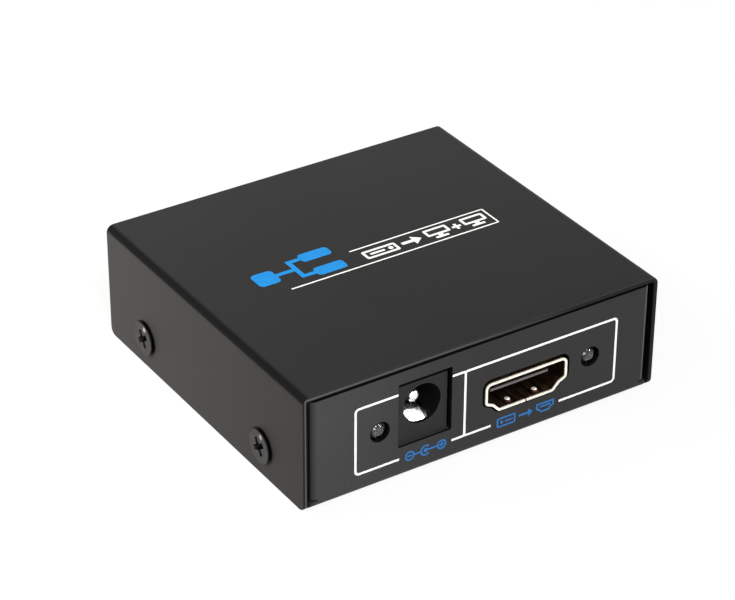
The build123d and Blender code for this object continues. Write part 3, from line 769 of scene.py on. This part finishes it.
@dataclass(frozen=True)
class ClearEpoxy:
    """An indicator light's clear epoxy, a little uneven from its mould."""

    name: str = "clear_epoxy"
    colour: Colour = (0.8, 0.82, 0.83)
    haze_shares: Place = (0.93, 1.0)
    clear_share: float = 0.975
    refraction: float = 1.52
    gloss: Place = (0.02, 0.07)
    wave_per_metre: float = 500.0
    wave_depth: float = 0.004 * MM

    def make(self) -> Material:
        """Builds the material: clear body, faint haze and mould waves.

        Returns:
            The material.
        """
        sheet = NodeSheet(self.name)
        wave = sheet.noise(self.wave_per_metre)
        return sheet.finish(Base_Color=sheet.shades(wave, self.colour, self.haze_shares),
                            Roughness=sheet.between(wave, *self.gloss, *NOISE_RANGE),
                            Transmission_Weight=self.clear_share, IOR=self.refraction,
                            Normal=sheet.relief(wave, self.wave_depth))


@dataclass(frozen=True)
class Ink:
    """Screen-printed ink, thin enough for the paint's grain to show through."""

    name: str
    colour: Colour
    thin_share: float = 0.86
    patch_per_metre: float = 1500.0
    patch_span: Place = (0.25, 0.6)
    roughness: float = 0.5
    rough_spread: Place = (0.06, 0.08)
    grain_per_metre: float = 4200.0
    grain_depth: float = 0.012 * MM
    specular: float = 0.15

    def make(self) -> Material:
        """Builds the material: slightly patchy cover and the paint's grain.

        Returns:
            The material.
        """
        sheet = NodeSheet(self.name)
        patch = sheet.noise(self.patch_per_metre, detail=4.0)
        grain = sheet.noise(self.grain_per_metre, detail=3.0)
        tone = sheet.shades(patch, self.colour, (self.thin_share, 1.0), self.patch_span)
        return sheet.finish(Base_Color=tone, Specular_IOR_Level=self.specular,
                            Roughness=sheet.spread(grain, self.roughness, *self.rough_spread),
                            Normal=sheet.relief(grain, self.grain_depth))


def added(mesh: BMesh, name: str, material: Material) -> Object:
    """Turns a finished bmesh into an object in the scene.

    Args:
        mesh: The finished shape, in metres and in place.
        name: The object's name.
        material: Its material.

    Returns:
        The new object.
    """
    data = bpy.data.meshes.new(name)
    mesh.to_mesh(data)
    mesh.free()
    data.materials.append(material)
    made = bpy.data.objects.new(name, data)
    bpy.context.scene.collection.objects.link(made)
    return made


def settle(mesh: BMesh, name: str, material: Material) -> Object:
    """Turns a finished bmesh into a piece that rides on the case.

    Args:
        mesh: The finished shape, in metres and in place.
        name: The piece's name.
        material: Its material.

    Returns:
        The new piece.
    """
    piece = added(mesh, name, material)
    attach(piece, BODY)
    log.info("piece %s: %d faces", name, len(piece.data.polygons))
    return piece


class Panel(Enum):
    """The two outside faces that carry print."""

    FRONT = "front"
    ROOF = "roof"

    def matrix(self) -> Matrix:
        """Gives the matrix from the print's millimetres to the face: along, up or back, and outwards.

        Returns:
            The matrix.
        """
        if self is Panel.FRONT:
            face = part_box("bottom_tray")[0][1] / MM
            axes = ((1, 0, 0, 0), (0, 0, -1, face), (0, 1, 0, 0), (0, 0, 0, 1))
        else:
            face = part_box("top_cover")[1][2] / MM
            axes = ((1, 0, 0, 0), (0, 1, 0, 0), (0, 0, 1, face), (0, 0, 0, 1))
        return Matrix.Scale(MM, 4) @ Matrix(axes)


@dataclass
class Stencil:
    """Flat shapes of one ink, drawn in millimetres and then given the ink's thickness.

    Each shape lies a little higher than the one before, so that no two share a plane. The ink stands out
    of its face by the film and reaches into it by what is sunk.
    """

    film: float = 0.012
    sunk: float = 0.01
    pass_depth: float = 0.0008
    corner_segments: int = 6
    level: float = 0.0
    mesh: BMesh = field(default_factory=bmesh.new)

    def next_level(self) -> float:
        """Gives the level of the next shape."""
        self.level += self.pass_depth
        return self.level

    def rectangle(self, middle: Vector, half: Place, turn: float = 0.0) -> list[BMVert]:
        """Adds a filled rectangle.

        Args:
            middle: Its middle.
            half: Half its length and half its width.
            turn: The angle that it is turned by.

        Returns:
            Its corners.
        """
        place = Matrix.Translation((*middle, self.next_level())) @ Matrix.Rotation(turn, 4, "Z")
        made = bmesh.ops.create_grid(self.mesh, x_segments=1, y_segments=1, size=1.0,
                                     matrix=place @ Matrix.Diagonal((*half, 1.0, 1.0)))
        return made["verts"]

    def bar(self, start: Place, end: Place, width: float) -> None:
        """Adds a straight line with square ends.

        Args:
            start: Its first end.
            end: Its other end.
            width: Its width.
        """
        a, b = Vector(start), Vector(end)
        run = b - a
        self.rectangle((a + b) / 2, (run.length / 2, width / 2), math.atan2(run.y, run.x))

    def run(self, start: float, end: float, level: float, width: float) -> None:
        """Adds a level line between two uprights."""
        self.bar((start, level), (end, level), width)

    def disc(self, middle: Place, radius: float, segments: int = 32) -> BMFace:
        """Adds a filled circle.

        Args:
            middle: Its middle.
            radius: Its radius.
            segments: How many sides it has.

        Returns:
            Its face.
        """
        made = bmesh.ops.create_circle(self.mesh, cap_ends=True, radius=radius, segments=segments,
                                       matrix=Matrix.Translation((*middle, self.next_level())))
        return made["verts"][0].link_faces[0]

    def hollow(self, face: BMFace, width: float) -> None:
        """Keeps only a line of some width inside a face's edge."""
        bmesh.ops.inset_individual(self.mesh, faces=[face], thickness=width, use_even_offset=True)
        bmesh.ops.delete(self.mesh, geom=[face], context="FACES_ONLY")

    def plate(self, low: Place, high: Place, corner: float, right_corner: float | None = None) -> BMFace:
        """Adds a filled rectangle with round corners.

        Args:
            low: Its lower left corner.
            high: Its upper right corner.
            corner: The corners' radius.
            right_corner: The right corners' radius, or None for the same.

        Returns:
            Its face.
        """
        before = set(self.mesh.faces)
        middle = (Vector(low) + Vector(high)) / 2
        verts = self.rectangle(middle, tuple((Vector(high) - Vector(low)) / 2))
        left = [vert for vert in verts if vert.co.x < middle.x]
        right = [vert for vert in verts if vert.co.x > middle.x]
        for corners, radius in ((left, corner), (right, corner if right_corner is None else right_corner)):
            bmesh.ops.bevel(self.mesh, geom=corners, offset=radius, offset_type="OFFSET", affect="VERTICES",
                            segments=self.corner_segments, profile=0.5, material=-1)
        return next(face for face in self.mesh.faces if face not in before)

    def outline(self, low: Place, high: Place, corner: float, width: float,
                right_corner: float | None = None) -> None:
        """Adds a rectangular line with round corners, inside the rectangle that plate() would fill."""
        self.hollow(self.plate(low, high, corner, right_corner), width)

    def shape(self, *points: Place) -> BMFace:
        """Adds a filled polygon.

        Args:
            points: Its corners in order.

        Returns:
            Its face.
        """
        level = self.next_level()
        face = self.mesh.faces.new([self.mesh.verts.new((*point, level)) for point in points])
        face.normal_update()
        return face

    def arrow(self, ends: Place, level: float, width: float, head: float, flare: float = 0.8) -> None:
        """Adds a level arrow.

        Args:
            ends: Where its shaft starts, and its point.
            level: Its height.
            width: The shaft's width.
            head: The head's length.
            flare: Half the head's breadth over its length.
        """
        start, tip = ends
        neck, side = tip - head, head * flare
        self.run(start, neck, level, width)
        self.shape((neck, level - side), (tip, level), (neck, level + side))

    def player(self, start: float, level: float, size: Place, corner: float, width: float) -> None:
        """Adds a player's box.

        Args:
            start: Its left side.
            level: Its middle height.
            size: Its length and height.
            corner: Its corners' radius.
            width: Its line's width.
        """
        half = size[1] / 2
        self.outline((start, level - half), (start + size[0], level + half), corner, width)

    def gap(self, start: float, end: float, under: float, over: float) -> None:
        """Takes out what lies between two uprights and two levels.

        Args:
            start: The left upright.
            end: The right upright.
            under: The lower level.
            over: The upper level.
        """
        for x in (start, end):
            everything = [*self.mesh.verts, *self.mesh.edges, *self.mesh.faces]
            bmesh.ops.bisect_plane(self.mesh, geom=everything, plane_co=(x, 0, 0), plane_no=(1, 0, 0))
        middles = ((face, face.calc_center_median()) for face in self.mesh.faces)
        inside = [face for face, middle in middles if start < middle.x < end and under < middle.y < over]
        bmesh.ops.delete(self.mesh, geom=inside, context="FACES")

    def printed(self, name: str, panel: Panel, ink: Material) -> Object:
        """Gives the shapes the ink's thickness and sets them on their face.

        Args:
            name: The piece's name.
            panel: The face that carries it.
            ink: The ink's material.

        Returns:
            The new piece.
        """
        mesh = self.mesh
        bmesh.ops.recalc_face_normals(mesh, faces=mesh.faces[:])
        bmesh.ops.translate(mesh, vec=(0, 0, -self.sunk), verts=mesh.verts[:])
        grown = bmesh.ops.extrude_face_region(mesh, geom=mesh.faces[:])
        raised = [part for part in grown["geom"] if isinstance(part, BMVert)]
        bmesh.ops.translate(mesh, vec=(0, 0, self.film + self.sunk), verts=raised)
        bmesh.ops.recalc_face_normals(mesh, faces=mesh.faces[:])
        bmesh.ops.transform(mesh, matrix=panel.matrix(), verts=mesh.verts[:])
        return settle(mesh, name, ink)


@dataclass
class FrontPrint:
    """The white frame lines and the two blue symbols on the front panel."""

    white: Ink = Ink("white_ink", (0.92, 0.92, 0.92), thin_share=0.95)
    blue: Ink = Ink("blue_ink", (0.026, 0.145, 0.4))
    left: float = -22.65
    right: float = 24.13
    top: float = 14.7
    bottom: float = 3.12
    divider: float = -3.69
    line: float = 0.38
    corner: float = 0.8
    inner_corner: float = 0.5
    jack_gap: Place = (-15.2, -5.8)
    power_gap: Place = (-14.95, -5.75)
    input_gap: Place = (1.25, 13.7)
    symbol_level: float = 3.25
    symbol_line: float = 0.28
    power_span: Place = (-13.95, -6.65)
    sign_radius: float = 0.85
    sign_half: float = 0.42
    ring_radius: float = 0.95
    ring_opening: float = 0.55
    dot_radius: float = 0.36
    input_span: Place = (2.35, 12.8)
    player_size: Place = (3.4, 1.7)
    player_corner: float = 0.3
    knob: Place = (0.9, 0.28)
    slot: Place = (1.5, 2.9)
    arrow_ends: Place = (4.0, -3.9)
    arrow_head: float = 0.85
    arrow_line: float = 0.364
    tongue: Place = (-2.6, -0.7)
    tongue_rise: float = 0.2
    mouth: tuple[Place, ...] = ((-3.3, 0.85), (-3.3, -0.1), (-2.8, -0.4), (-2.4, -0.85), (-0.9, -0.85),
                                (-0.5, -0.4), (0.0, -0.1), (0.0, 0.85))

    def frame_lines(self) -> Stencil:
        """Draws both frames, broken at the jack and over the symbols.

        Returns:
            The drawn stencil.
        """
        stencil = Stencil()
        top, bottom, line = self.top, self.bottom, self.line
        middle = (top + bottom) / 2
        stencil.outline((self.left, bottom), (self.divider + line, top), self.corner, line, self.inner_corner)
        stencil.gap(*self.jack_gap, middle, top + line)
        stencil.gap(*self.power_gap, bottom - line, middle)
        stencil.outline((self.divider, bottom), (self.right, top), self.inner_corner, line, self.corner)
        stencil.gap(*self.input_gap, bottom - line, middle)
        return stencil

    def power_symbol(self) -> Stencil:
        """Draws the plug's polarity symbol under the power jack: minus, an open ring with its dot, and plus.

        Returns:
            The drawn stencil.
        """
        stencil = Stencil()
        level, line, ring, half = self.symbol_level, self.symbol_line, self.ring_radius, self.sign_half
        start, end = self.power_span
        minus, middle, plus = start + self.sign_radius, (start + end) / 2, end - self.sign_radius
        for sign in (minus, plus):
            stencil.hollow(stencil.disc((sign, level), self.sign_radius), line)
            stencil.run(sign - half, sign + half, level, line)
        stencil.bar((plus, level - half), (plus, level + half), line)
        stencil.hollow(stencil.disc((middle, level), ring), line)
        stencil.gap(middle + ring * self.ring_opening, middle + ring + line, level - ring, level + ring)
        stencil.disc((middle, level), self.dot_radius)
        stencil.run(minus + self.sign_radius, middle - ring, level, line)
        stencil.run(middle, plus - self.sign_radius, level, line)
        return stencil

    def input_symbol(self) -> Stencil:
        """Draws a player, an arrow and a socket's outline under the video input.

        Returns:
            The drawn stencil.
        """
        stencil = Stencil()
        level, line = self.symbol_level, self.symbol_line
        start, end = self.input_span
        (knob, radius), (tail, tip) = self.knob, self.arrow_ends
        stencil.player(start, level, self.player_size, self.player_corner, line)
        stencil.disc((start + knob, level), radius, segments=20)
        stencil.run(start + self.slot[0], start + self.slot[1], level, line)
        stencil.arrow((start + tail, end + tip), level, self.arrow_line, self.arrow_head)
        stencil.hollow(stencil.shape(*((end + x, level + y) for x, y in self.mouth)), line)
        stencil.run(end + self.tongue[0], end + self.tongue[1], level + self.tongue_rise, line)
        return stencil

    def build(self) -> None:
        """Prints everything on the front panel."""
        white, blue = self.white.make(), self.blue.make()
        self.frame_lines().printed("front_frame_print", Panel.FRONT, white)
        self.power_symbol().printed("power_symbol_print", Panel.FRONT, blue)
        self.input_symbol().printed("input_symbol_print", Panel.FRONT, blue)


@dataclass
class RoofPrint:
    """The blue one-to-two symbol and the white frame with its pictograms on the roof."""

    white: Ink = Ink("white_roof_ink", (0.93, 0.93, 0.93), thin_share=0.95)
    blue: Ink = Ink("blue_roof_ink", (0.004, 0.24, 0.65))
    source_low: Place = (-20.6, 0.1)
    source_size: float = 3.7
    source_corner: float = 0.8
    bus: float = -13.5
    branch_levels: Place = (-0.35, 4.2)
    branch_ends: Place = (-11.4, -6.2)
    branch_half: float = 1.15
    branch_corner: float = 0.6
    trunk: float = 0.8
    frame_low: Place = (-4.0, -2.75)
    frame_high: Place = (20.65, 2.15)
    frame_corner: float = 0.2
    frame_line: float = 0.27
    open_width: float = 0.5427
    rule_start: float = -17.0
    stroke: float = 0.46
    player_start: float = -2.7
    player_size: Place = (6.0, 2.3)
    player_corner: float = 0.35
    slot: Place = (-1.6, 1.0)
    knob: Place = (2.1, 0.42)
    arrow_ends: Place = (4.1, 7.7)
    arrow_head: float = 1.5
    arrow_line: float = 0.69
    screens: Place = (8.7, 15.5)
    screen_size: Place = (4.2, 2.0)
    screen_corner: float = 0.3
    stand: float = 0.75
    stand_line: float = 0.828
    foot_half: float = 1.15
    plus: float = 14.2
    plus_half: float = 0.8

    def split_symbol(self) -> Stencil:
        """Draws one filled block joined to two longer ones.

        Returns:
            The drawn stencil.
        """
        stencil = Stencil()
        (x, y), size, half = self.source_low, self.source_size, self.trunk / 2
        lowest, highest = self.branch_levels
        start, end = self.branch_ends
        stencil.plate((x, y), (x + size, y + size), self.source_corner)
        stencil.run(x + size - half, self.bus, y + size / 2, self.trunk)
        stencil.bar((self.bus, lowest - half), (self.bus, highest + half), self.trunk)
        for level in self.branch_levels:
            low, high = level - self.branch_half, level + self.branch_half
            stencil.run(self.bus + half, start + half, level, self.trunk)
            stencil.plate((start, low), (end, high), self.branch_corner)
        return stencil

    def screen(self, stencil: Stencil, start: float, level: float) -> None:
        """Draws one screen on its stand.

        Args:
            stencil: The stencil to draw on.
            start: Its left edge.
            level: Its middle height.
        """
        wide, tall = self.screen_size
        foot = level - tall / 2 - self.stroke / 2
        sill, middle = foot + self.stand, start + wide / 2
        stencil.outline((start, sill), (start + wide, sill + tall), self.screen_corner, self.stroke)
        stencil.bar((middle, foot), (middle, sill + self.stroke / 2), self.stand_line)
        stencil.run(middle - self.foot_half, middle + self.foot_half, foot, self.stroke)

    def frame_lines(self, stencil: Stencil) -> None:
        """Draws the frame, open at its left end, and the long rule that runs on from its lower side.

        Args:
            stencil: The stencil to draw on.
        """
        (left, bottom), (_, top), line = self.frame_low, self.frame_high, self.frame_line
        stencil.outline(self.frame_low, self.frame_high, self.frame_corner, line)
        stencil.gap(left - line, left - line + self.open_width, bottom + line, top - line)
        stencil.run(self.rule_start, left + self.frame_corner, bottom + line / 2, line)

    def caption(self) -> Stencil:
        """Draws the frame with a player, an arrow and two screens inside.

        Returns:
            The drawn stencil.
        """
        stencil = Stencil()
        self.frame_lines(stencil)
        level = (self.frame_low[1] + self.frame_high[1]) / 2
        stroke, plus, half = self.stroke, self.plus, self.plus_half
        (knob, radius), (first, second) = self.knob, self.screens
        stencil.player(self.player_start, level, self.player_size, self.player_corner, stroke)
        stencil.run(*self.slot, level, stroke)
        stencil.disc((knob, level), radius, segments=20)
        stencil.arrow(self.arrow_ends, level, self.arrow_line, self.arrow_head)
        self.screen(stencil, first, level)
        stencil.run(plus - half, plus + half, level, stroke)
        stencil.bar((plus, level - half), (plus, level + half), stroke)
        self.screen(stencil, second, level)
        return stencil

    def build(self) -> None:
        """Prints everything on the roof."""
        self.split_symbol().printed("roof_symbol_print", Panel.ROOF, self.blue.make())
        self.caption().printed("roof_caption_print", Panel.ROOF, self.white.make())


@dataclass
class LightFrames:
    """The metal frames inside the clear lenses: an anvil with its cup, a post and a bond wire."""

    lenses: tuple[str, ...] = ("power_light", "input_light", "output_1_light", "output_2_light")
    finish: Plating = Plating("light_frame_metal", (0.3, 0.3, 0.29), 0.35)
    gauge: float = 0.4
    edge_radius: float = 0.05
    lead_row: float = 1.27
    blade: float = 0.5
    blade_foot: float = 0.02
    blade_top: float = 1.4
    shoulder: float = 1.3
    half_span: float = 1.3
    anvil_width: float = 1.9
    anvil_reach: float = 2.75
    post_width: float = 0.62
    post_reach: float = 2.2
    cup_row: float = -0.15
    cup_radius: float = 0.42
    cup_floor: float = 0.294
    cup_depth: float = 0.35
    cup_wall: float = 0.06
    cup_rise: float = 0.17
    wire: float = 0.035
    wire_rise: float = 0.1
    wire_bend: float = 0.57
    wire_sunk: float = 0.05

    def block(self, mesh: BMesh, low: Place, high: Place) -> None:
        """Adds a flat blade of the frame's gauge with softened edges.

        Args:
            mesh: The mesh to add to.
            low: Its lower left corner, in millimetres.
            high: Its upper right corner.
        """
        middle, size = (Vector(low) + Vector(high)) / 2, Vector(high) - Vector(low)
        place = Matrix.Translation((*middle, 0.0)) @ Matrix.Diagonal((*size, self.gauge, 1.0))
        made = bmesh.ops.create_cube(mesh, size=1.0, matrix=place)
        edges = list({edge for vert in made["verts"] for edge in vert.link_edges})
        bmesh.ops.bevel(mesh, geom=edges, offset=self.edge_radius, offset_type="OFFSET", affect="EDGES",
                        segments=2, profile=0.5, material=-1)

    def cup(self, mesh: BMesh) -> None:
        """Adds the reflector cup on the anvil.

        Args:
            mesh: The mesh to add to.
        """
        place = Matrix.Translation((self.cup_row, self.anvil_reach + self.cup_rise, 0.0))
        made = bmesh.ops.create_cone(mesh, cap_ends=False, segments=24, radius1=self.cup_floor,
                                     radius2=self.cup_radius, depth=self.cup_depth,
                                     matrix=place @ Matrix.Rotation(-math.pi / 2, 4, "X"))
        faces = list({face for vert in made["verts"] for face in vert.link_faces})
        bmesh.ops.solidify(mesh, geom=faces, thickness=self.cup_wall)

    def bond(self, mesh: BMesh) -> None:
        """Adds the bond wire, in an arc out of the cup and straight down to the post.

        Args:
            mesh: The mesh to add to.
        """
        level = self.anvil_reach + self.wire_rise
        place = Matrix.Translation((self.cup_row, level, 0.0)) @ Matrix.Rotation(math.pi / 2, 4, "X")
        start = bmesh.ops.create_circle(mesh, segments=8, radius=self.wire, matrix=place)
        ring = list({edge for vert in start["verts"] for edge in vert.link_edges})
        middle = (self.cup_row + self.wire_bend, level, 0.0)
        arc = bmesh.ops.spin(mesh, geom=ring, cent=middle, axis=(0, 0, -1), dvec=(0, 0, 0), angle=math.pi,
                             steps=12, use_merge=False)
        last = [part for part in arc["geom_last"] if isinstance(part, BMEdge)]
        drop = bmesh.ops.extrude_edge_only(mesh, edges=last)
        landed = [part for part in drop["geom"] if isinstance(part, BMVert)]
        bmesh.ops.translate(mesh, vec=(0.0, self.post_reach - self.wire_sunk - level, 0.0), verts=landed)

    def frame_of(self, light: str, metal: Material) -> Object:
        """Builds the frame inside one lens.

        Args:
            light: The light's name.
            metal: The frame's material.

        Returns:
            The new piece.
        """
        (low, high), leads = (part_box(f"{light}_{part}") for part in ("lens", "leads"))
        front = low[1] < 0
        root = ((leads[0][0] + leads[1][0]) / 2, high[1] if front else low[1], (low[2] + high[2]) / 2)
        mesh = bmesh.new()
        for row in (-self.lead_row, self.lead_row):
            self.block(mesh, (row - self.blade / 2, self.blade_foot), (row + self.blade / 2, self.blade_top))
        side = self.half_span
        self.block(mesh, (-side, self.shoulder), (self.anvil_width - side, self.anvil_reach))
        self.block(mesh, (side - self.post_width, self.shoulder), (side, self.post_reach))
        self.cup(mesh)
        self.bond(mesh)
        bmesh.ops.recalc_face_normals(mesh, faces=mesh.faces[:])
        turn = Matrix.Rotation(math.pi if front else 0.0, 4, "Z")
        place = Matrix.Translation(root) @ turn @ Matrix.Scale(MM, 4)
        bmesh.ops.transform(mesh, matrix=place, verts=mesh.verts[:])
        piece = settle(mesh, f"{light}_frame", metal)
        return piece

    def build(self) -> None:
        """Builds the frames of all four lights."""
        metal = self.finish.make()
        for light in self.lenses:
            self.frame_of(light, metal)


@dataclass
class Dressing:
    """The finishes of the model's nodes, each named after its material slot, and the jack's own metals."""

    # Painted light and shade: lighter walls and edges, darker folds, inside, edge lines and screw rings.
    cover_paint: PowderCoat = PowderCoat(
        "cover_paint", (0.0097, 0.0092, 0.0092), {
            SheetPaintedLight.SIDE: 2.56, SheetPaintedLight.FOLD: 0.1, SheetPaintedLight.INNER: 0.1, SheetPaintedLight.EDGE: 9.0,
            SheetPaintedLight.LIP: 0.03, SheetPaintedLight.RING: 0.05},
        # Painted light: lighter to the left and towards the rear.
        drift=0.3, rear_drift=(0.78, 1.45))
    # Painted light and shade: lighter right folds, darker left ends, seams, upper edges and openings.
    tray_paint: PowderCoat = PowderCoat(
        # Painted light: about 2.8 times the roof's colour, so that the front panel shows lighter than the
        # roof.
        "tray_paint", (0.0275, 0.0272, 0.027), {
            SheetPaintedLight.UPRIGHT: 5.5, SheetPaintedLight.LEFT: 0.45, SheetPaintedLight.GAP: 0.03, SheetPaintedLight.CREST: 0.03,
            SheetPaintedLight.HOLE: 0.06},
        # Painted light: lighter towards the left end.
        drift=0.8)
    # Painted shade off the head's flat face, and a painted highlight spot on the head.
    black_screw_steel: TurnedSteel = TurnedSteel("black_screw_steel", (0.022, 0.0195, 0.0185), 0.2, 0.36, 0.2,
                                                 recess_share=0.05, rub_colour=(0.6, 0.55, 0.5))
    zinc_steel: TurnedSteel = TurnedSteel("zinc_steel", (0.56, 0.56, 0.53), 1.0, 0.34)
    shell_metal: ShellPlating = ShellPlating()
    contact_gold: Plating = Plating("contact_gold", (0.94, 0.7, 0.3), 0.22)
    tinned_copper: Plating = Plating("tinned_copper", (0.76, 0.75, 0.72), 0.3)
    can_aluminium: Plating = Plating("can_aluminium", (0.82, 0.83, 0.84), 0.32, streak=(1.0, 1.0, 0.1))
    jack_metal: Plating = Plating("jack_metal", (0.95, 0.95, 0.94), 0.24, streaks_per_metre=1500.0,
                                  streak_depth=0.0006 * MM, dull_share=0.93)
    jack_leaf_metal: Plating = replace(jack_metal, name="jack_leaf_metal", bright_end=(-9.45 * MM, 0.2 * MM))
    # Painted light on the lower front faces, painted shade on what looks up.
    socket_plastic: Moulded = Moulded("socket_plastic", (0.0155, 0.0128, 0.013), 0.34, specular=0.06,
                                      shares={MouldPaintedLight.FRONT: 11.0, MouldPaintedLight.TOP: 0.1})
    # Painted highlight on the right-looking slopes, painted shade on top and in the bore.
    jack_plastic: Moulded = Moulded("jack_plastic", (0.0212, 0.0212, 0.0217), 0.44, specular=0.08,
                                    shares={MouldPaintedLight.RIM: 4.0, MouldPaintedLight.TOP: 0.03, MouldPaintedLight.BORE: 0.05})
    chip_plastic: Moulded = Moulded("chip_plastic", (0.018, 0.018, 0.02), 0.5)
    ferrite: Moulded = Moulded("ferrite", (0.04, 0.04, 0.043), 0.6, 2600.0, 0.03 * MM)
    resistor_ceramic: Moulded = Moulded("resistor_ceramic", (0.012, 0.012, 0.015), 0.28, coat=0.4)
    capacitor_ceramic: Moulded = Moulded("capacitor_ceramic", (0.3, 0.19, 0.1), 0.5)
    board_laminate: SolderMask = SolderMask()
    lens_epoxy: ClearEpoxy = ClearEpoxy()
    own: dict[str, str] = field(default_factory=lambda: {
        "jack_centre_pin": "jack_metal", "jack_shunt_contact": "jack_metal",
        "jack_leaf_contact": "jack_leaf_metal"})

    def build(self) -> None:
        """Gives every node of the model its finish."""
        made: dict[str, Material] = {}
        slots = {part["node"]: part["material_slot"] for part in frame["record"]["subparts"]}
        for node, piece in frame["nodes"].items():
            finish = self.own.get(node, slots[node])
            if finish not in made:
                made[finish] = getattr(self, finish).make()
            for slot in piece.material_slots:
                slot.material = made[finish]
            log.info("node %s: %s", node, made[finish].name)


@dataclass(frozen=True)
class Lamp:
    """One soft square lamp, with what it lights."""

    name: str
    place: Point
    power: float
    size: float
    colour: Colour = WHITE
    diffuse: bool = True
    glossy: bool = True

    def hang(self, aim: Vector) -> None:
        """Hangs the lamp and turns it to the object.

        Args:
            aim: The point it is turned to.
        """
        data = bpy.data.lights.new(self.name, "AREA")
        data.shape = "SQUARE"
        data.size = self.size
        data.energy = self.power
        data.color = self.colour
        lamp = bpy.data.objects.new(self.name, data)
        bpy.context.scene.collection.objects.link(lamp)
        lamp.location = self.place
        lamp.rotation_mode = "QUATERNION"
        lamp.rotation_quaternion = (aim - Vector(self.place)).to_track_quat("-Z", "Y")
        lamp.visible_camera = False
        lamp.visible_diffuse = self.diffuse
        lamp.visible_glossy = self.glossy
        log.info("lamp %s at %s", self.name, self.place)


@dataclass
class Studio:
    """The white floor, the world, the lamps and the camera."""

    lens: float = 133.66
    sensor: float = 36.0
    clip: Place = (0.01, 20.0)
    camera_place: Point = (-0.19633, -0.29875, 0.22915)
    right: Point = (0.83975, -0.54295, 0.00492)
    down: Point = (-0.27961, -0.44019, -0.85326)
    forward: Point = (0.46545, 0.71515, -0.52146)
    floor_half: float = 3.0
    floor_tone: float = 0.2
    floor_glow: float = 0.8
    ambient: float = 0.35
    aim: Point = (0.0, 0.0, 0.01)
    lamps: tuple[Lamp, ...] = (
        Lamp("key", (-0.34, 0.33, 0.2), 3.0, 0.3, (1.0, 0.975, 0.84), glossy=False),
        Lamp("fill", (-0.3, -0.5, 0.16), 2.2, 0.3, (0.98, 0.99, 1.0)),
        Lamp("front", (-0.12, -0.5, 0.52), 3.4, 0.2),
        Lamp("spark", (0.3, -0.25, 0.42), 3.6, 0.17, diffuse=False),
        Lamp("glint", (0.35, -0.4, 0.23), 3.2, 0.14, diffuse=False),
        Lamp("sheen", (0.2, 0.34, 0.06), 0.1, 0.2, diffuse=False),
    )

    def camera(self) -> None:
        """Sets the camera where the photograph was taken from."""
        data = bpy.data.cameras.new("camera")
        data.lens = self.lens
        data.sensor_width = self.sensor
        data.sensor_fit = "HORIZONTAL"
        data.clip_start, data.clip_end = self.clip
        camera = bpy.data.objects.new("camera", data)
        bpy.context.scene.collection.objects.link(camera)
        columns = Matrix((self.right, -Vector(self.down), -Vector(self.forward)))
        camera.matrix_world = Matrix.Translation(self.camera_place) @ columns.transposed().to_4x4()
        bpy.context.scene.camera = camera

    def seen_directly(self, tree: NodeTree, low: float, high: float) -> NodeSocket:
        """Tells what the camera sees directly, in a mirror or through glass from what only lights the object.

        Args:
            tree: The nodes to add to.
            low: The strength for rays that only light the object.
            high: The strength for camera, glossy and transmission rays.

        Returns:
            The strength.
        """
        path = tree.nodes.new("ShaderNodeLightPath")
        strength = tree.nodes.new("ShaderNodeMapRange")
        strength.inputs["To Min"].default_value = low
        strength.inputs["To Max"].default_value = high
        shown = path.outputs["Is Camera Ray"]
        for kind in ("Is Glossy Ray", "Is Transmission Ray"):
            either = tree.nodes.new("ShaderNodeMath")
            either.operation = "MAXIMUM"
            tree.links.new(shown, either.inputs[0])
            tree.links.new(path.outputs[kind], either.inputs[1])
            shown = either.outputs[0]
        tree.links.new(shown, strength.inputs["Value"])
        return strength.outputs["Result"]

    def floor(self) -> None:
        """Lays the pale floor, which keeps the object's shadow."""
        sheet = NodeSheet("floor_paper")
        sheet.finish(Base_Color=(self.floor_tone,) * 3, Roughness=1.0, Specular_IOR_Level=0.0)
        glow, both = sheet.add("ShaderNodeEmission"), sheet.add("ShaderNodeAddShader")
        sheet.feed(glow.inputs["Strength"], self.seen_directly(sheet.tree, 0.0, self.floor_glow))
        sheet.feed(both.inputs[0], sheet.shader.outputs[0])
        sheet.feed(both.inputs[1], glow.outputs[0])
        output = next(node for node in sheet.tree.nodes if node.type == "OUTPUT_MATERIAL")
        sheet.feed(output.inputs["Surface"], both.outputs[0])
        mesh = bmesh.new()
        bmesh.ops.create_grid(mesh, x_segments=1, y_segments=1, size=self.floor_half)
        floor = added(mesh, "studio_floor", sheet.material)

    def world(self) -> None:
        """Makes the world white where it is seen, and dimmer where it lights."""
        world = bpy.data.worlds.new("studio_world")
        world.use_nodes = True
        tree = world.node_tree
        sky = tree.nodes["Background"]
        tree.links.new(self.seen_directly(tree, self.ambient, 1.0), sky.inputs["Strength"])
        sky.inputs["Color"].default_value = (*WHITE, 1.0)
        bpy.context.scene.world = world

    def build(self) -> None:
        """Sets up everything round the object, with each lamp turned to the object's middle."""
        self.camera()
        self.floor()
        self.world()
        for lamp in self.lamps:
            lamp.hang(Vector(self.aim))
        bpy.context.scene.view_settings.view_transform = "Standard"


def main() -> None:
    """Builds the studio, then dresses the object from its frame outwards."""
    logging.basicConfig(level=logging.INFO, format="%(name)s: %(message)s")
    builders: list[tuple[str, Callable[[], None]]] = [
        ("studio", Studio().build),
        ("dressing", Dressing().build),
        ("light frames", LightFrames().build),
        ("front print", FrontPrint().build),
        ("roof print", RoofPrint().build),
    ]
    for name, build in builders:
        build()
        log.info("%s done", name)


if __name__ == "__main__":
    main()
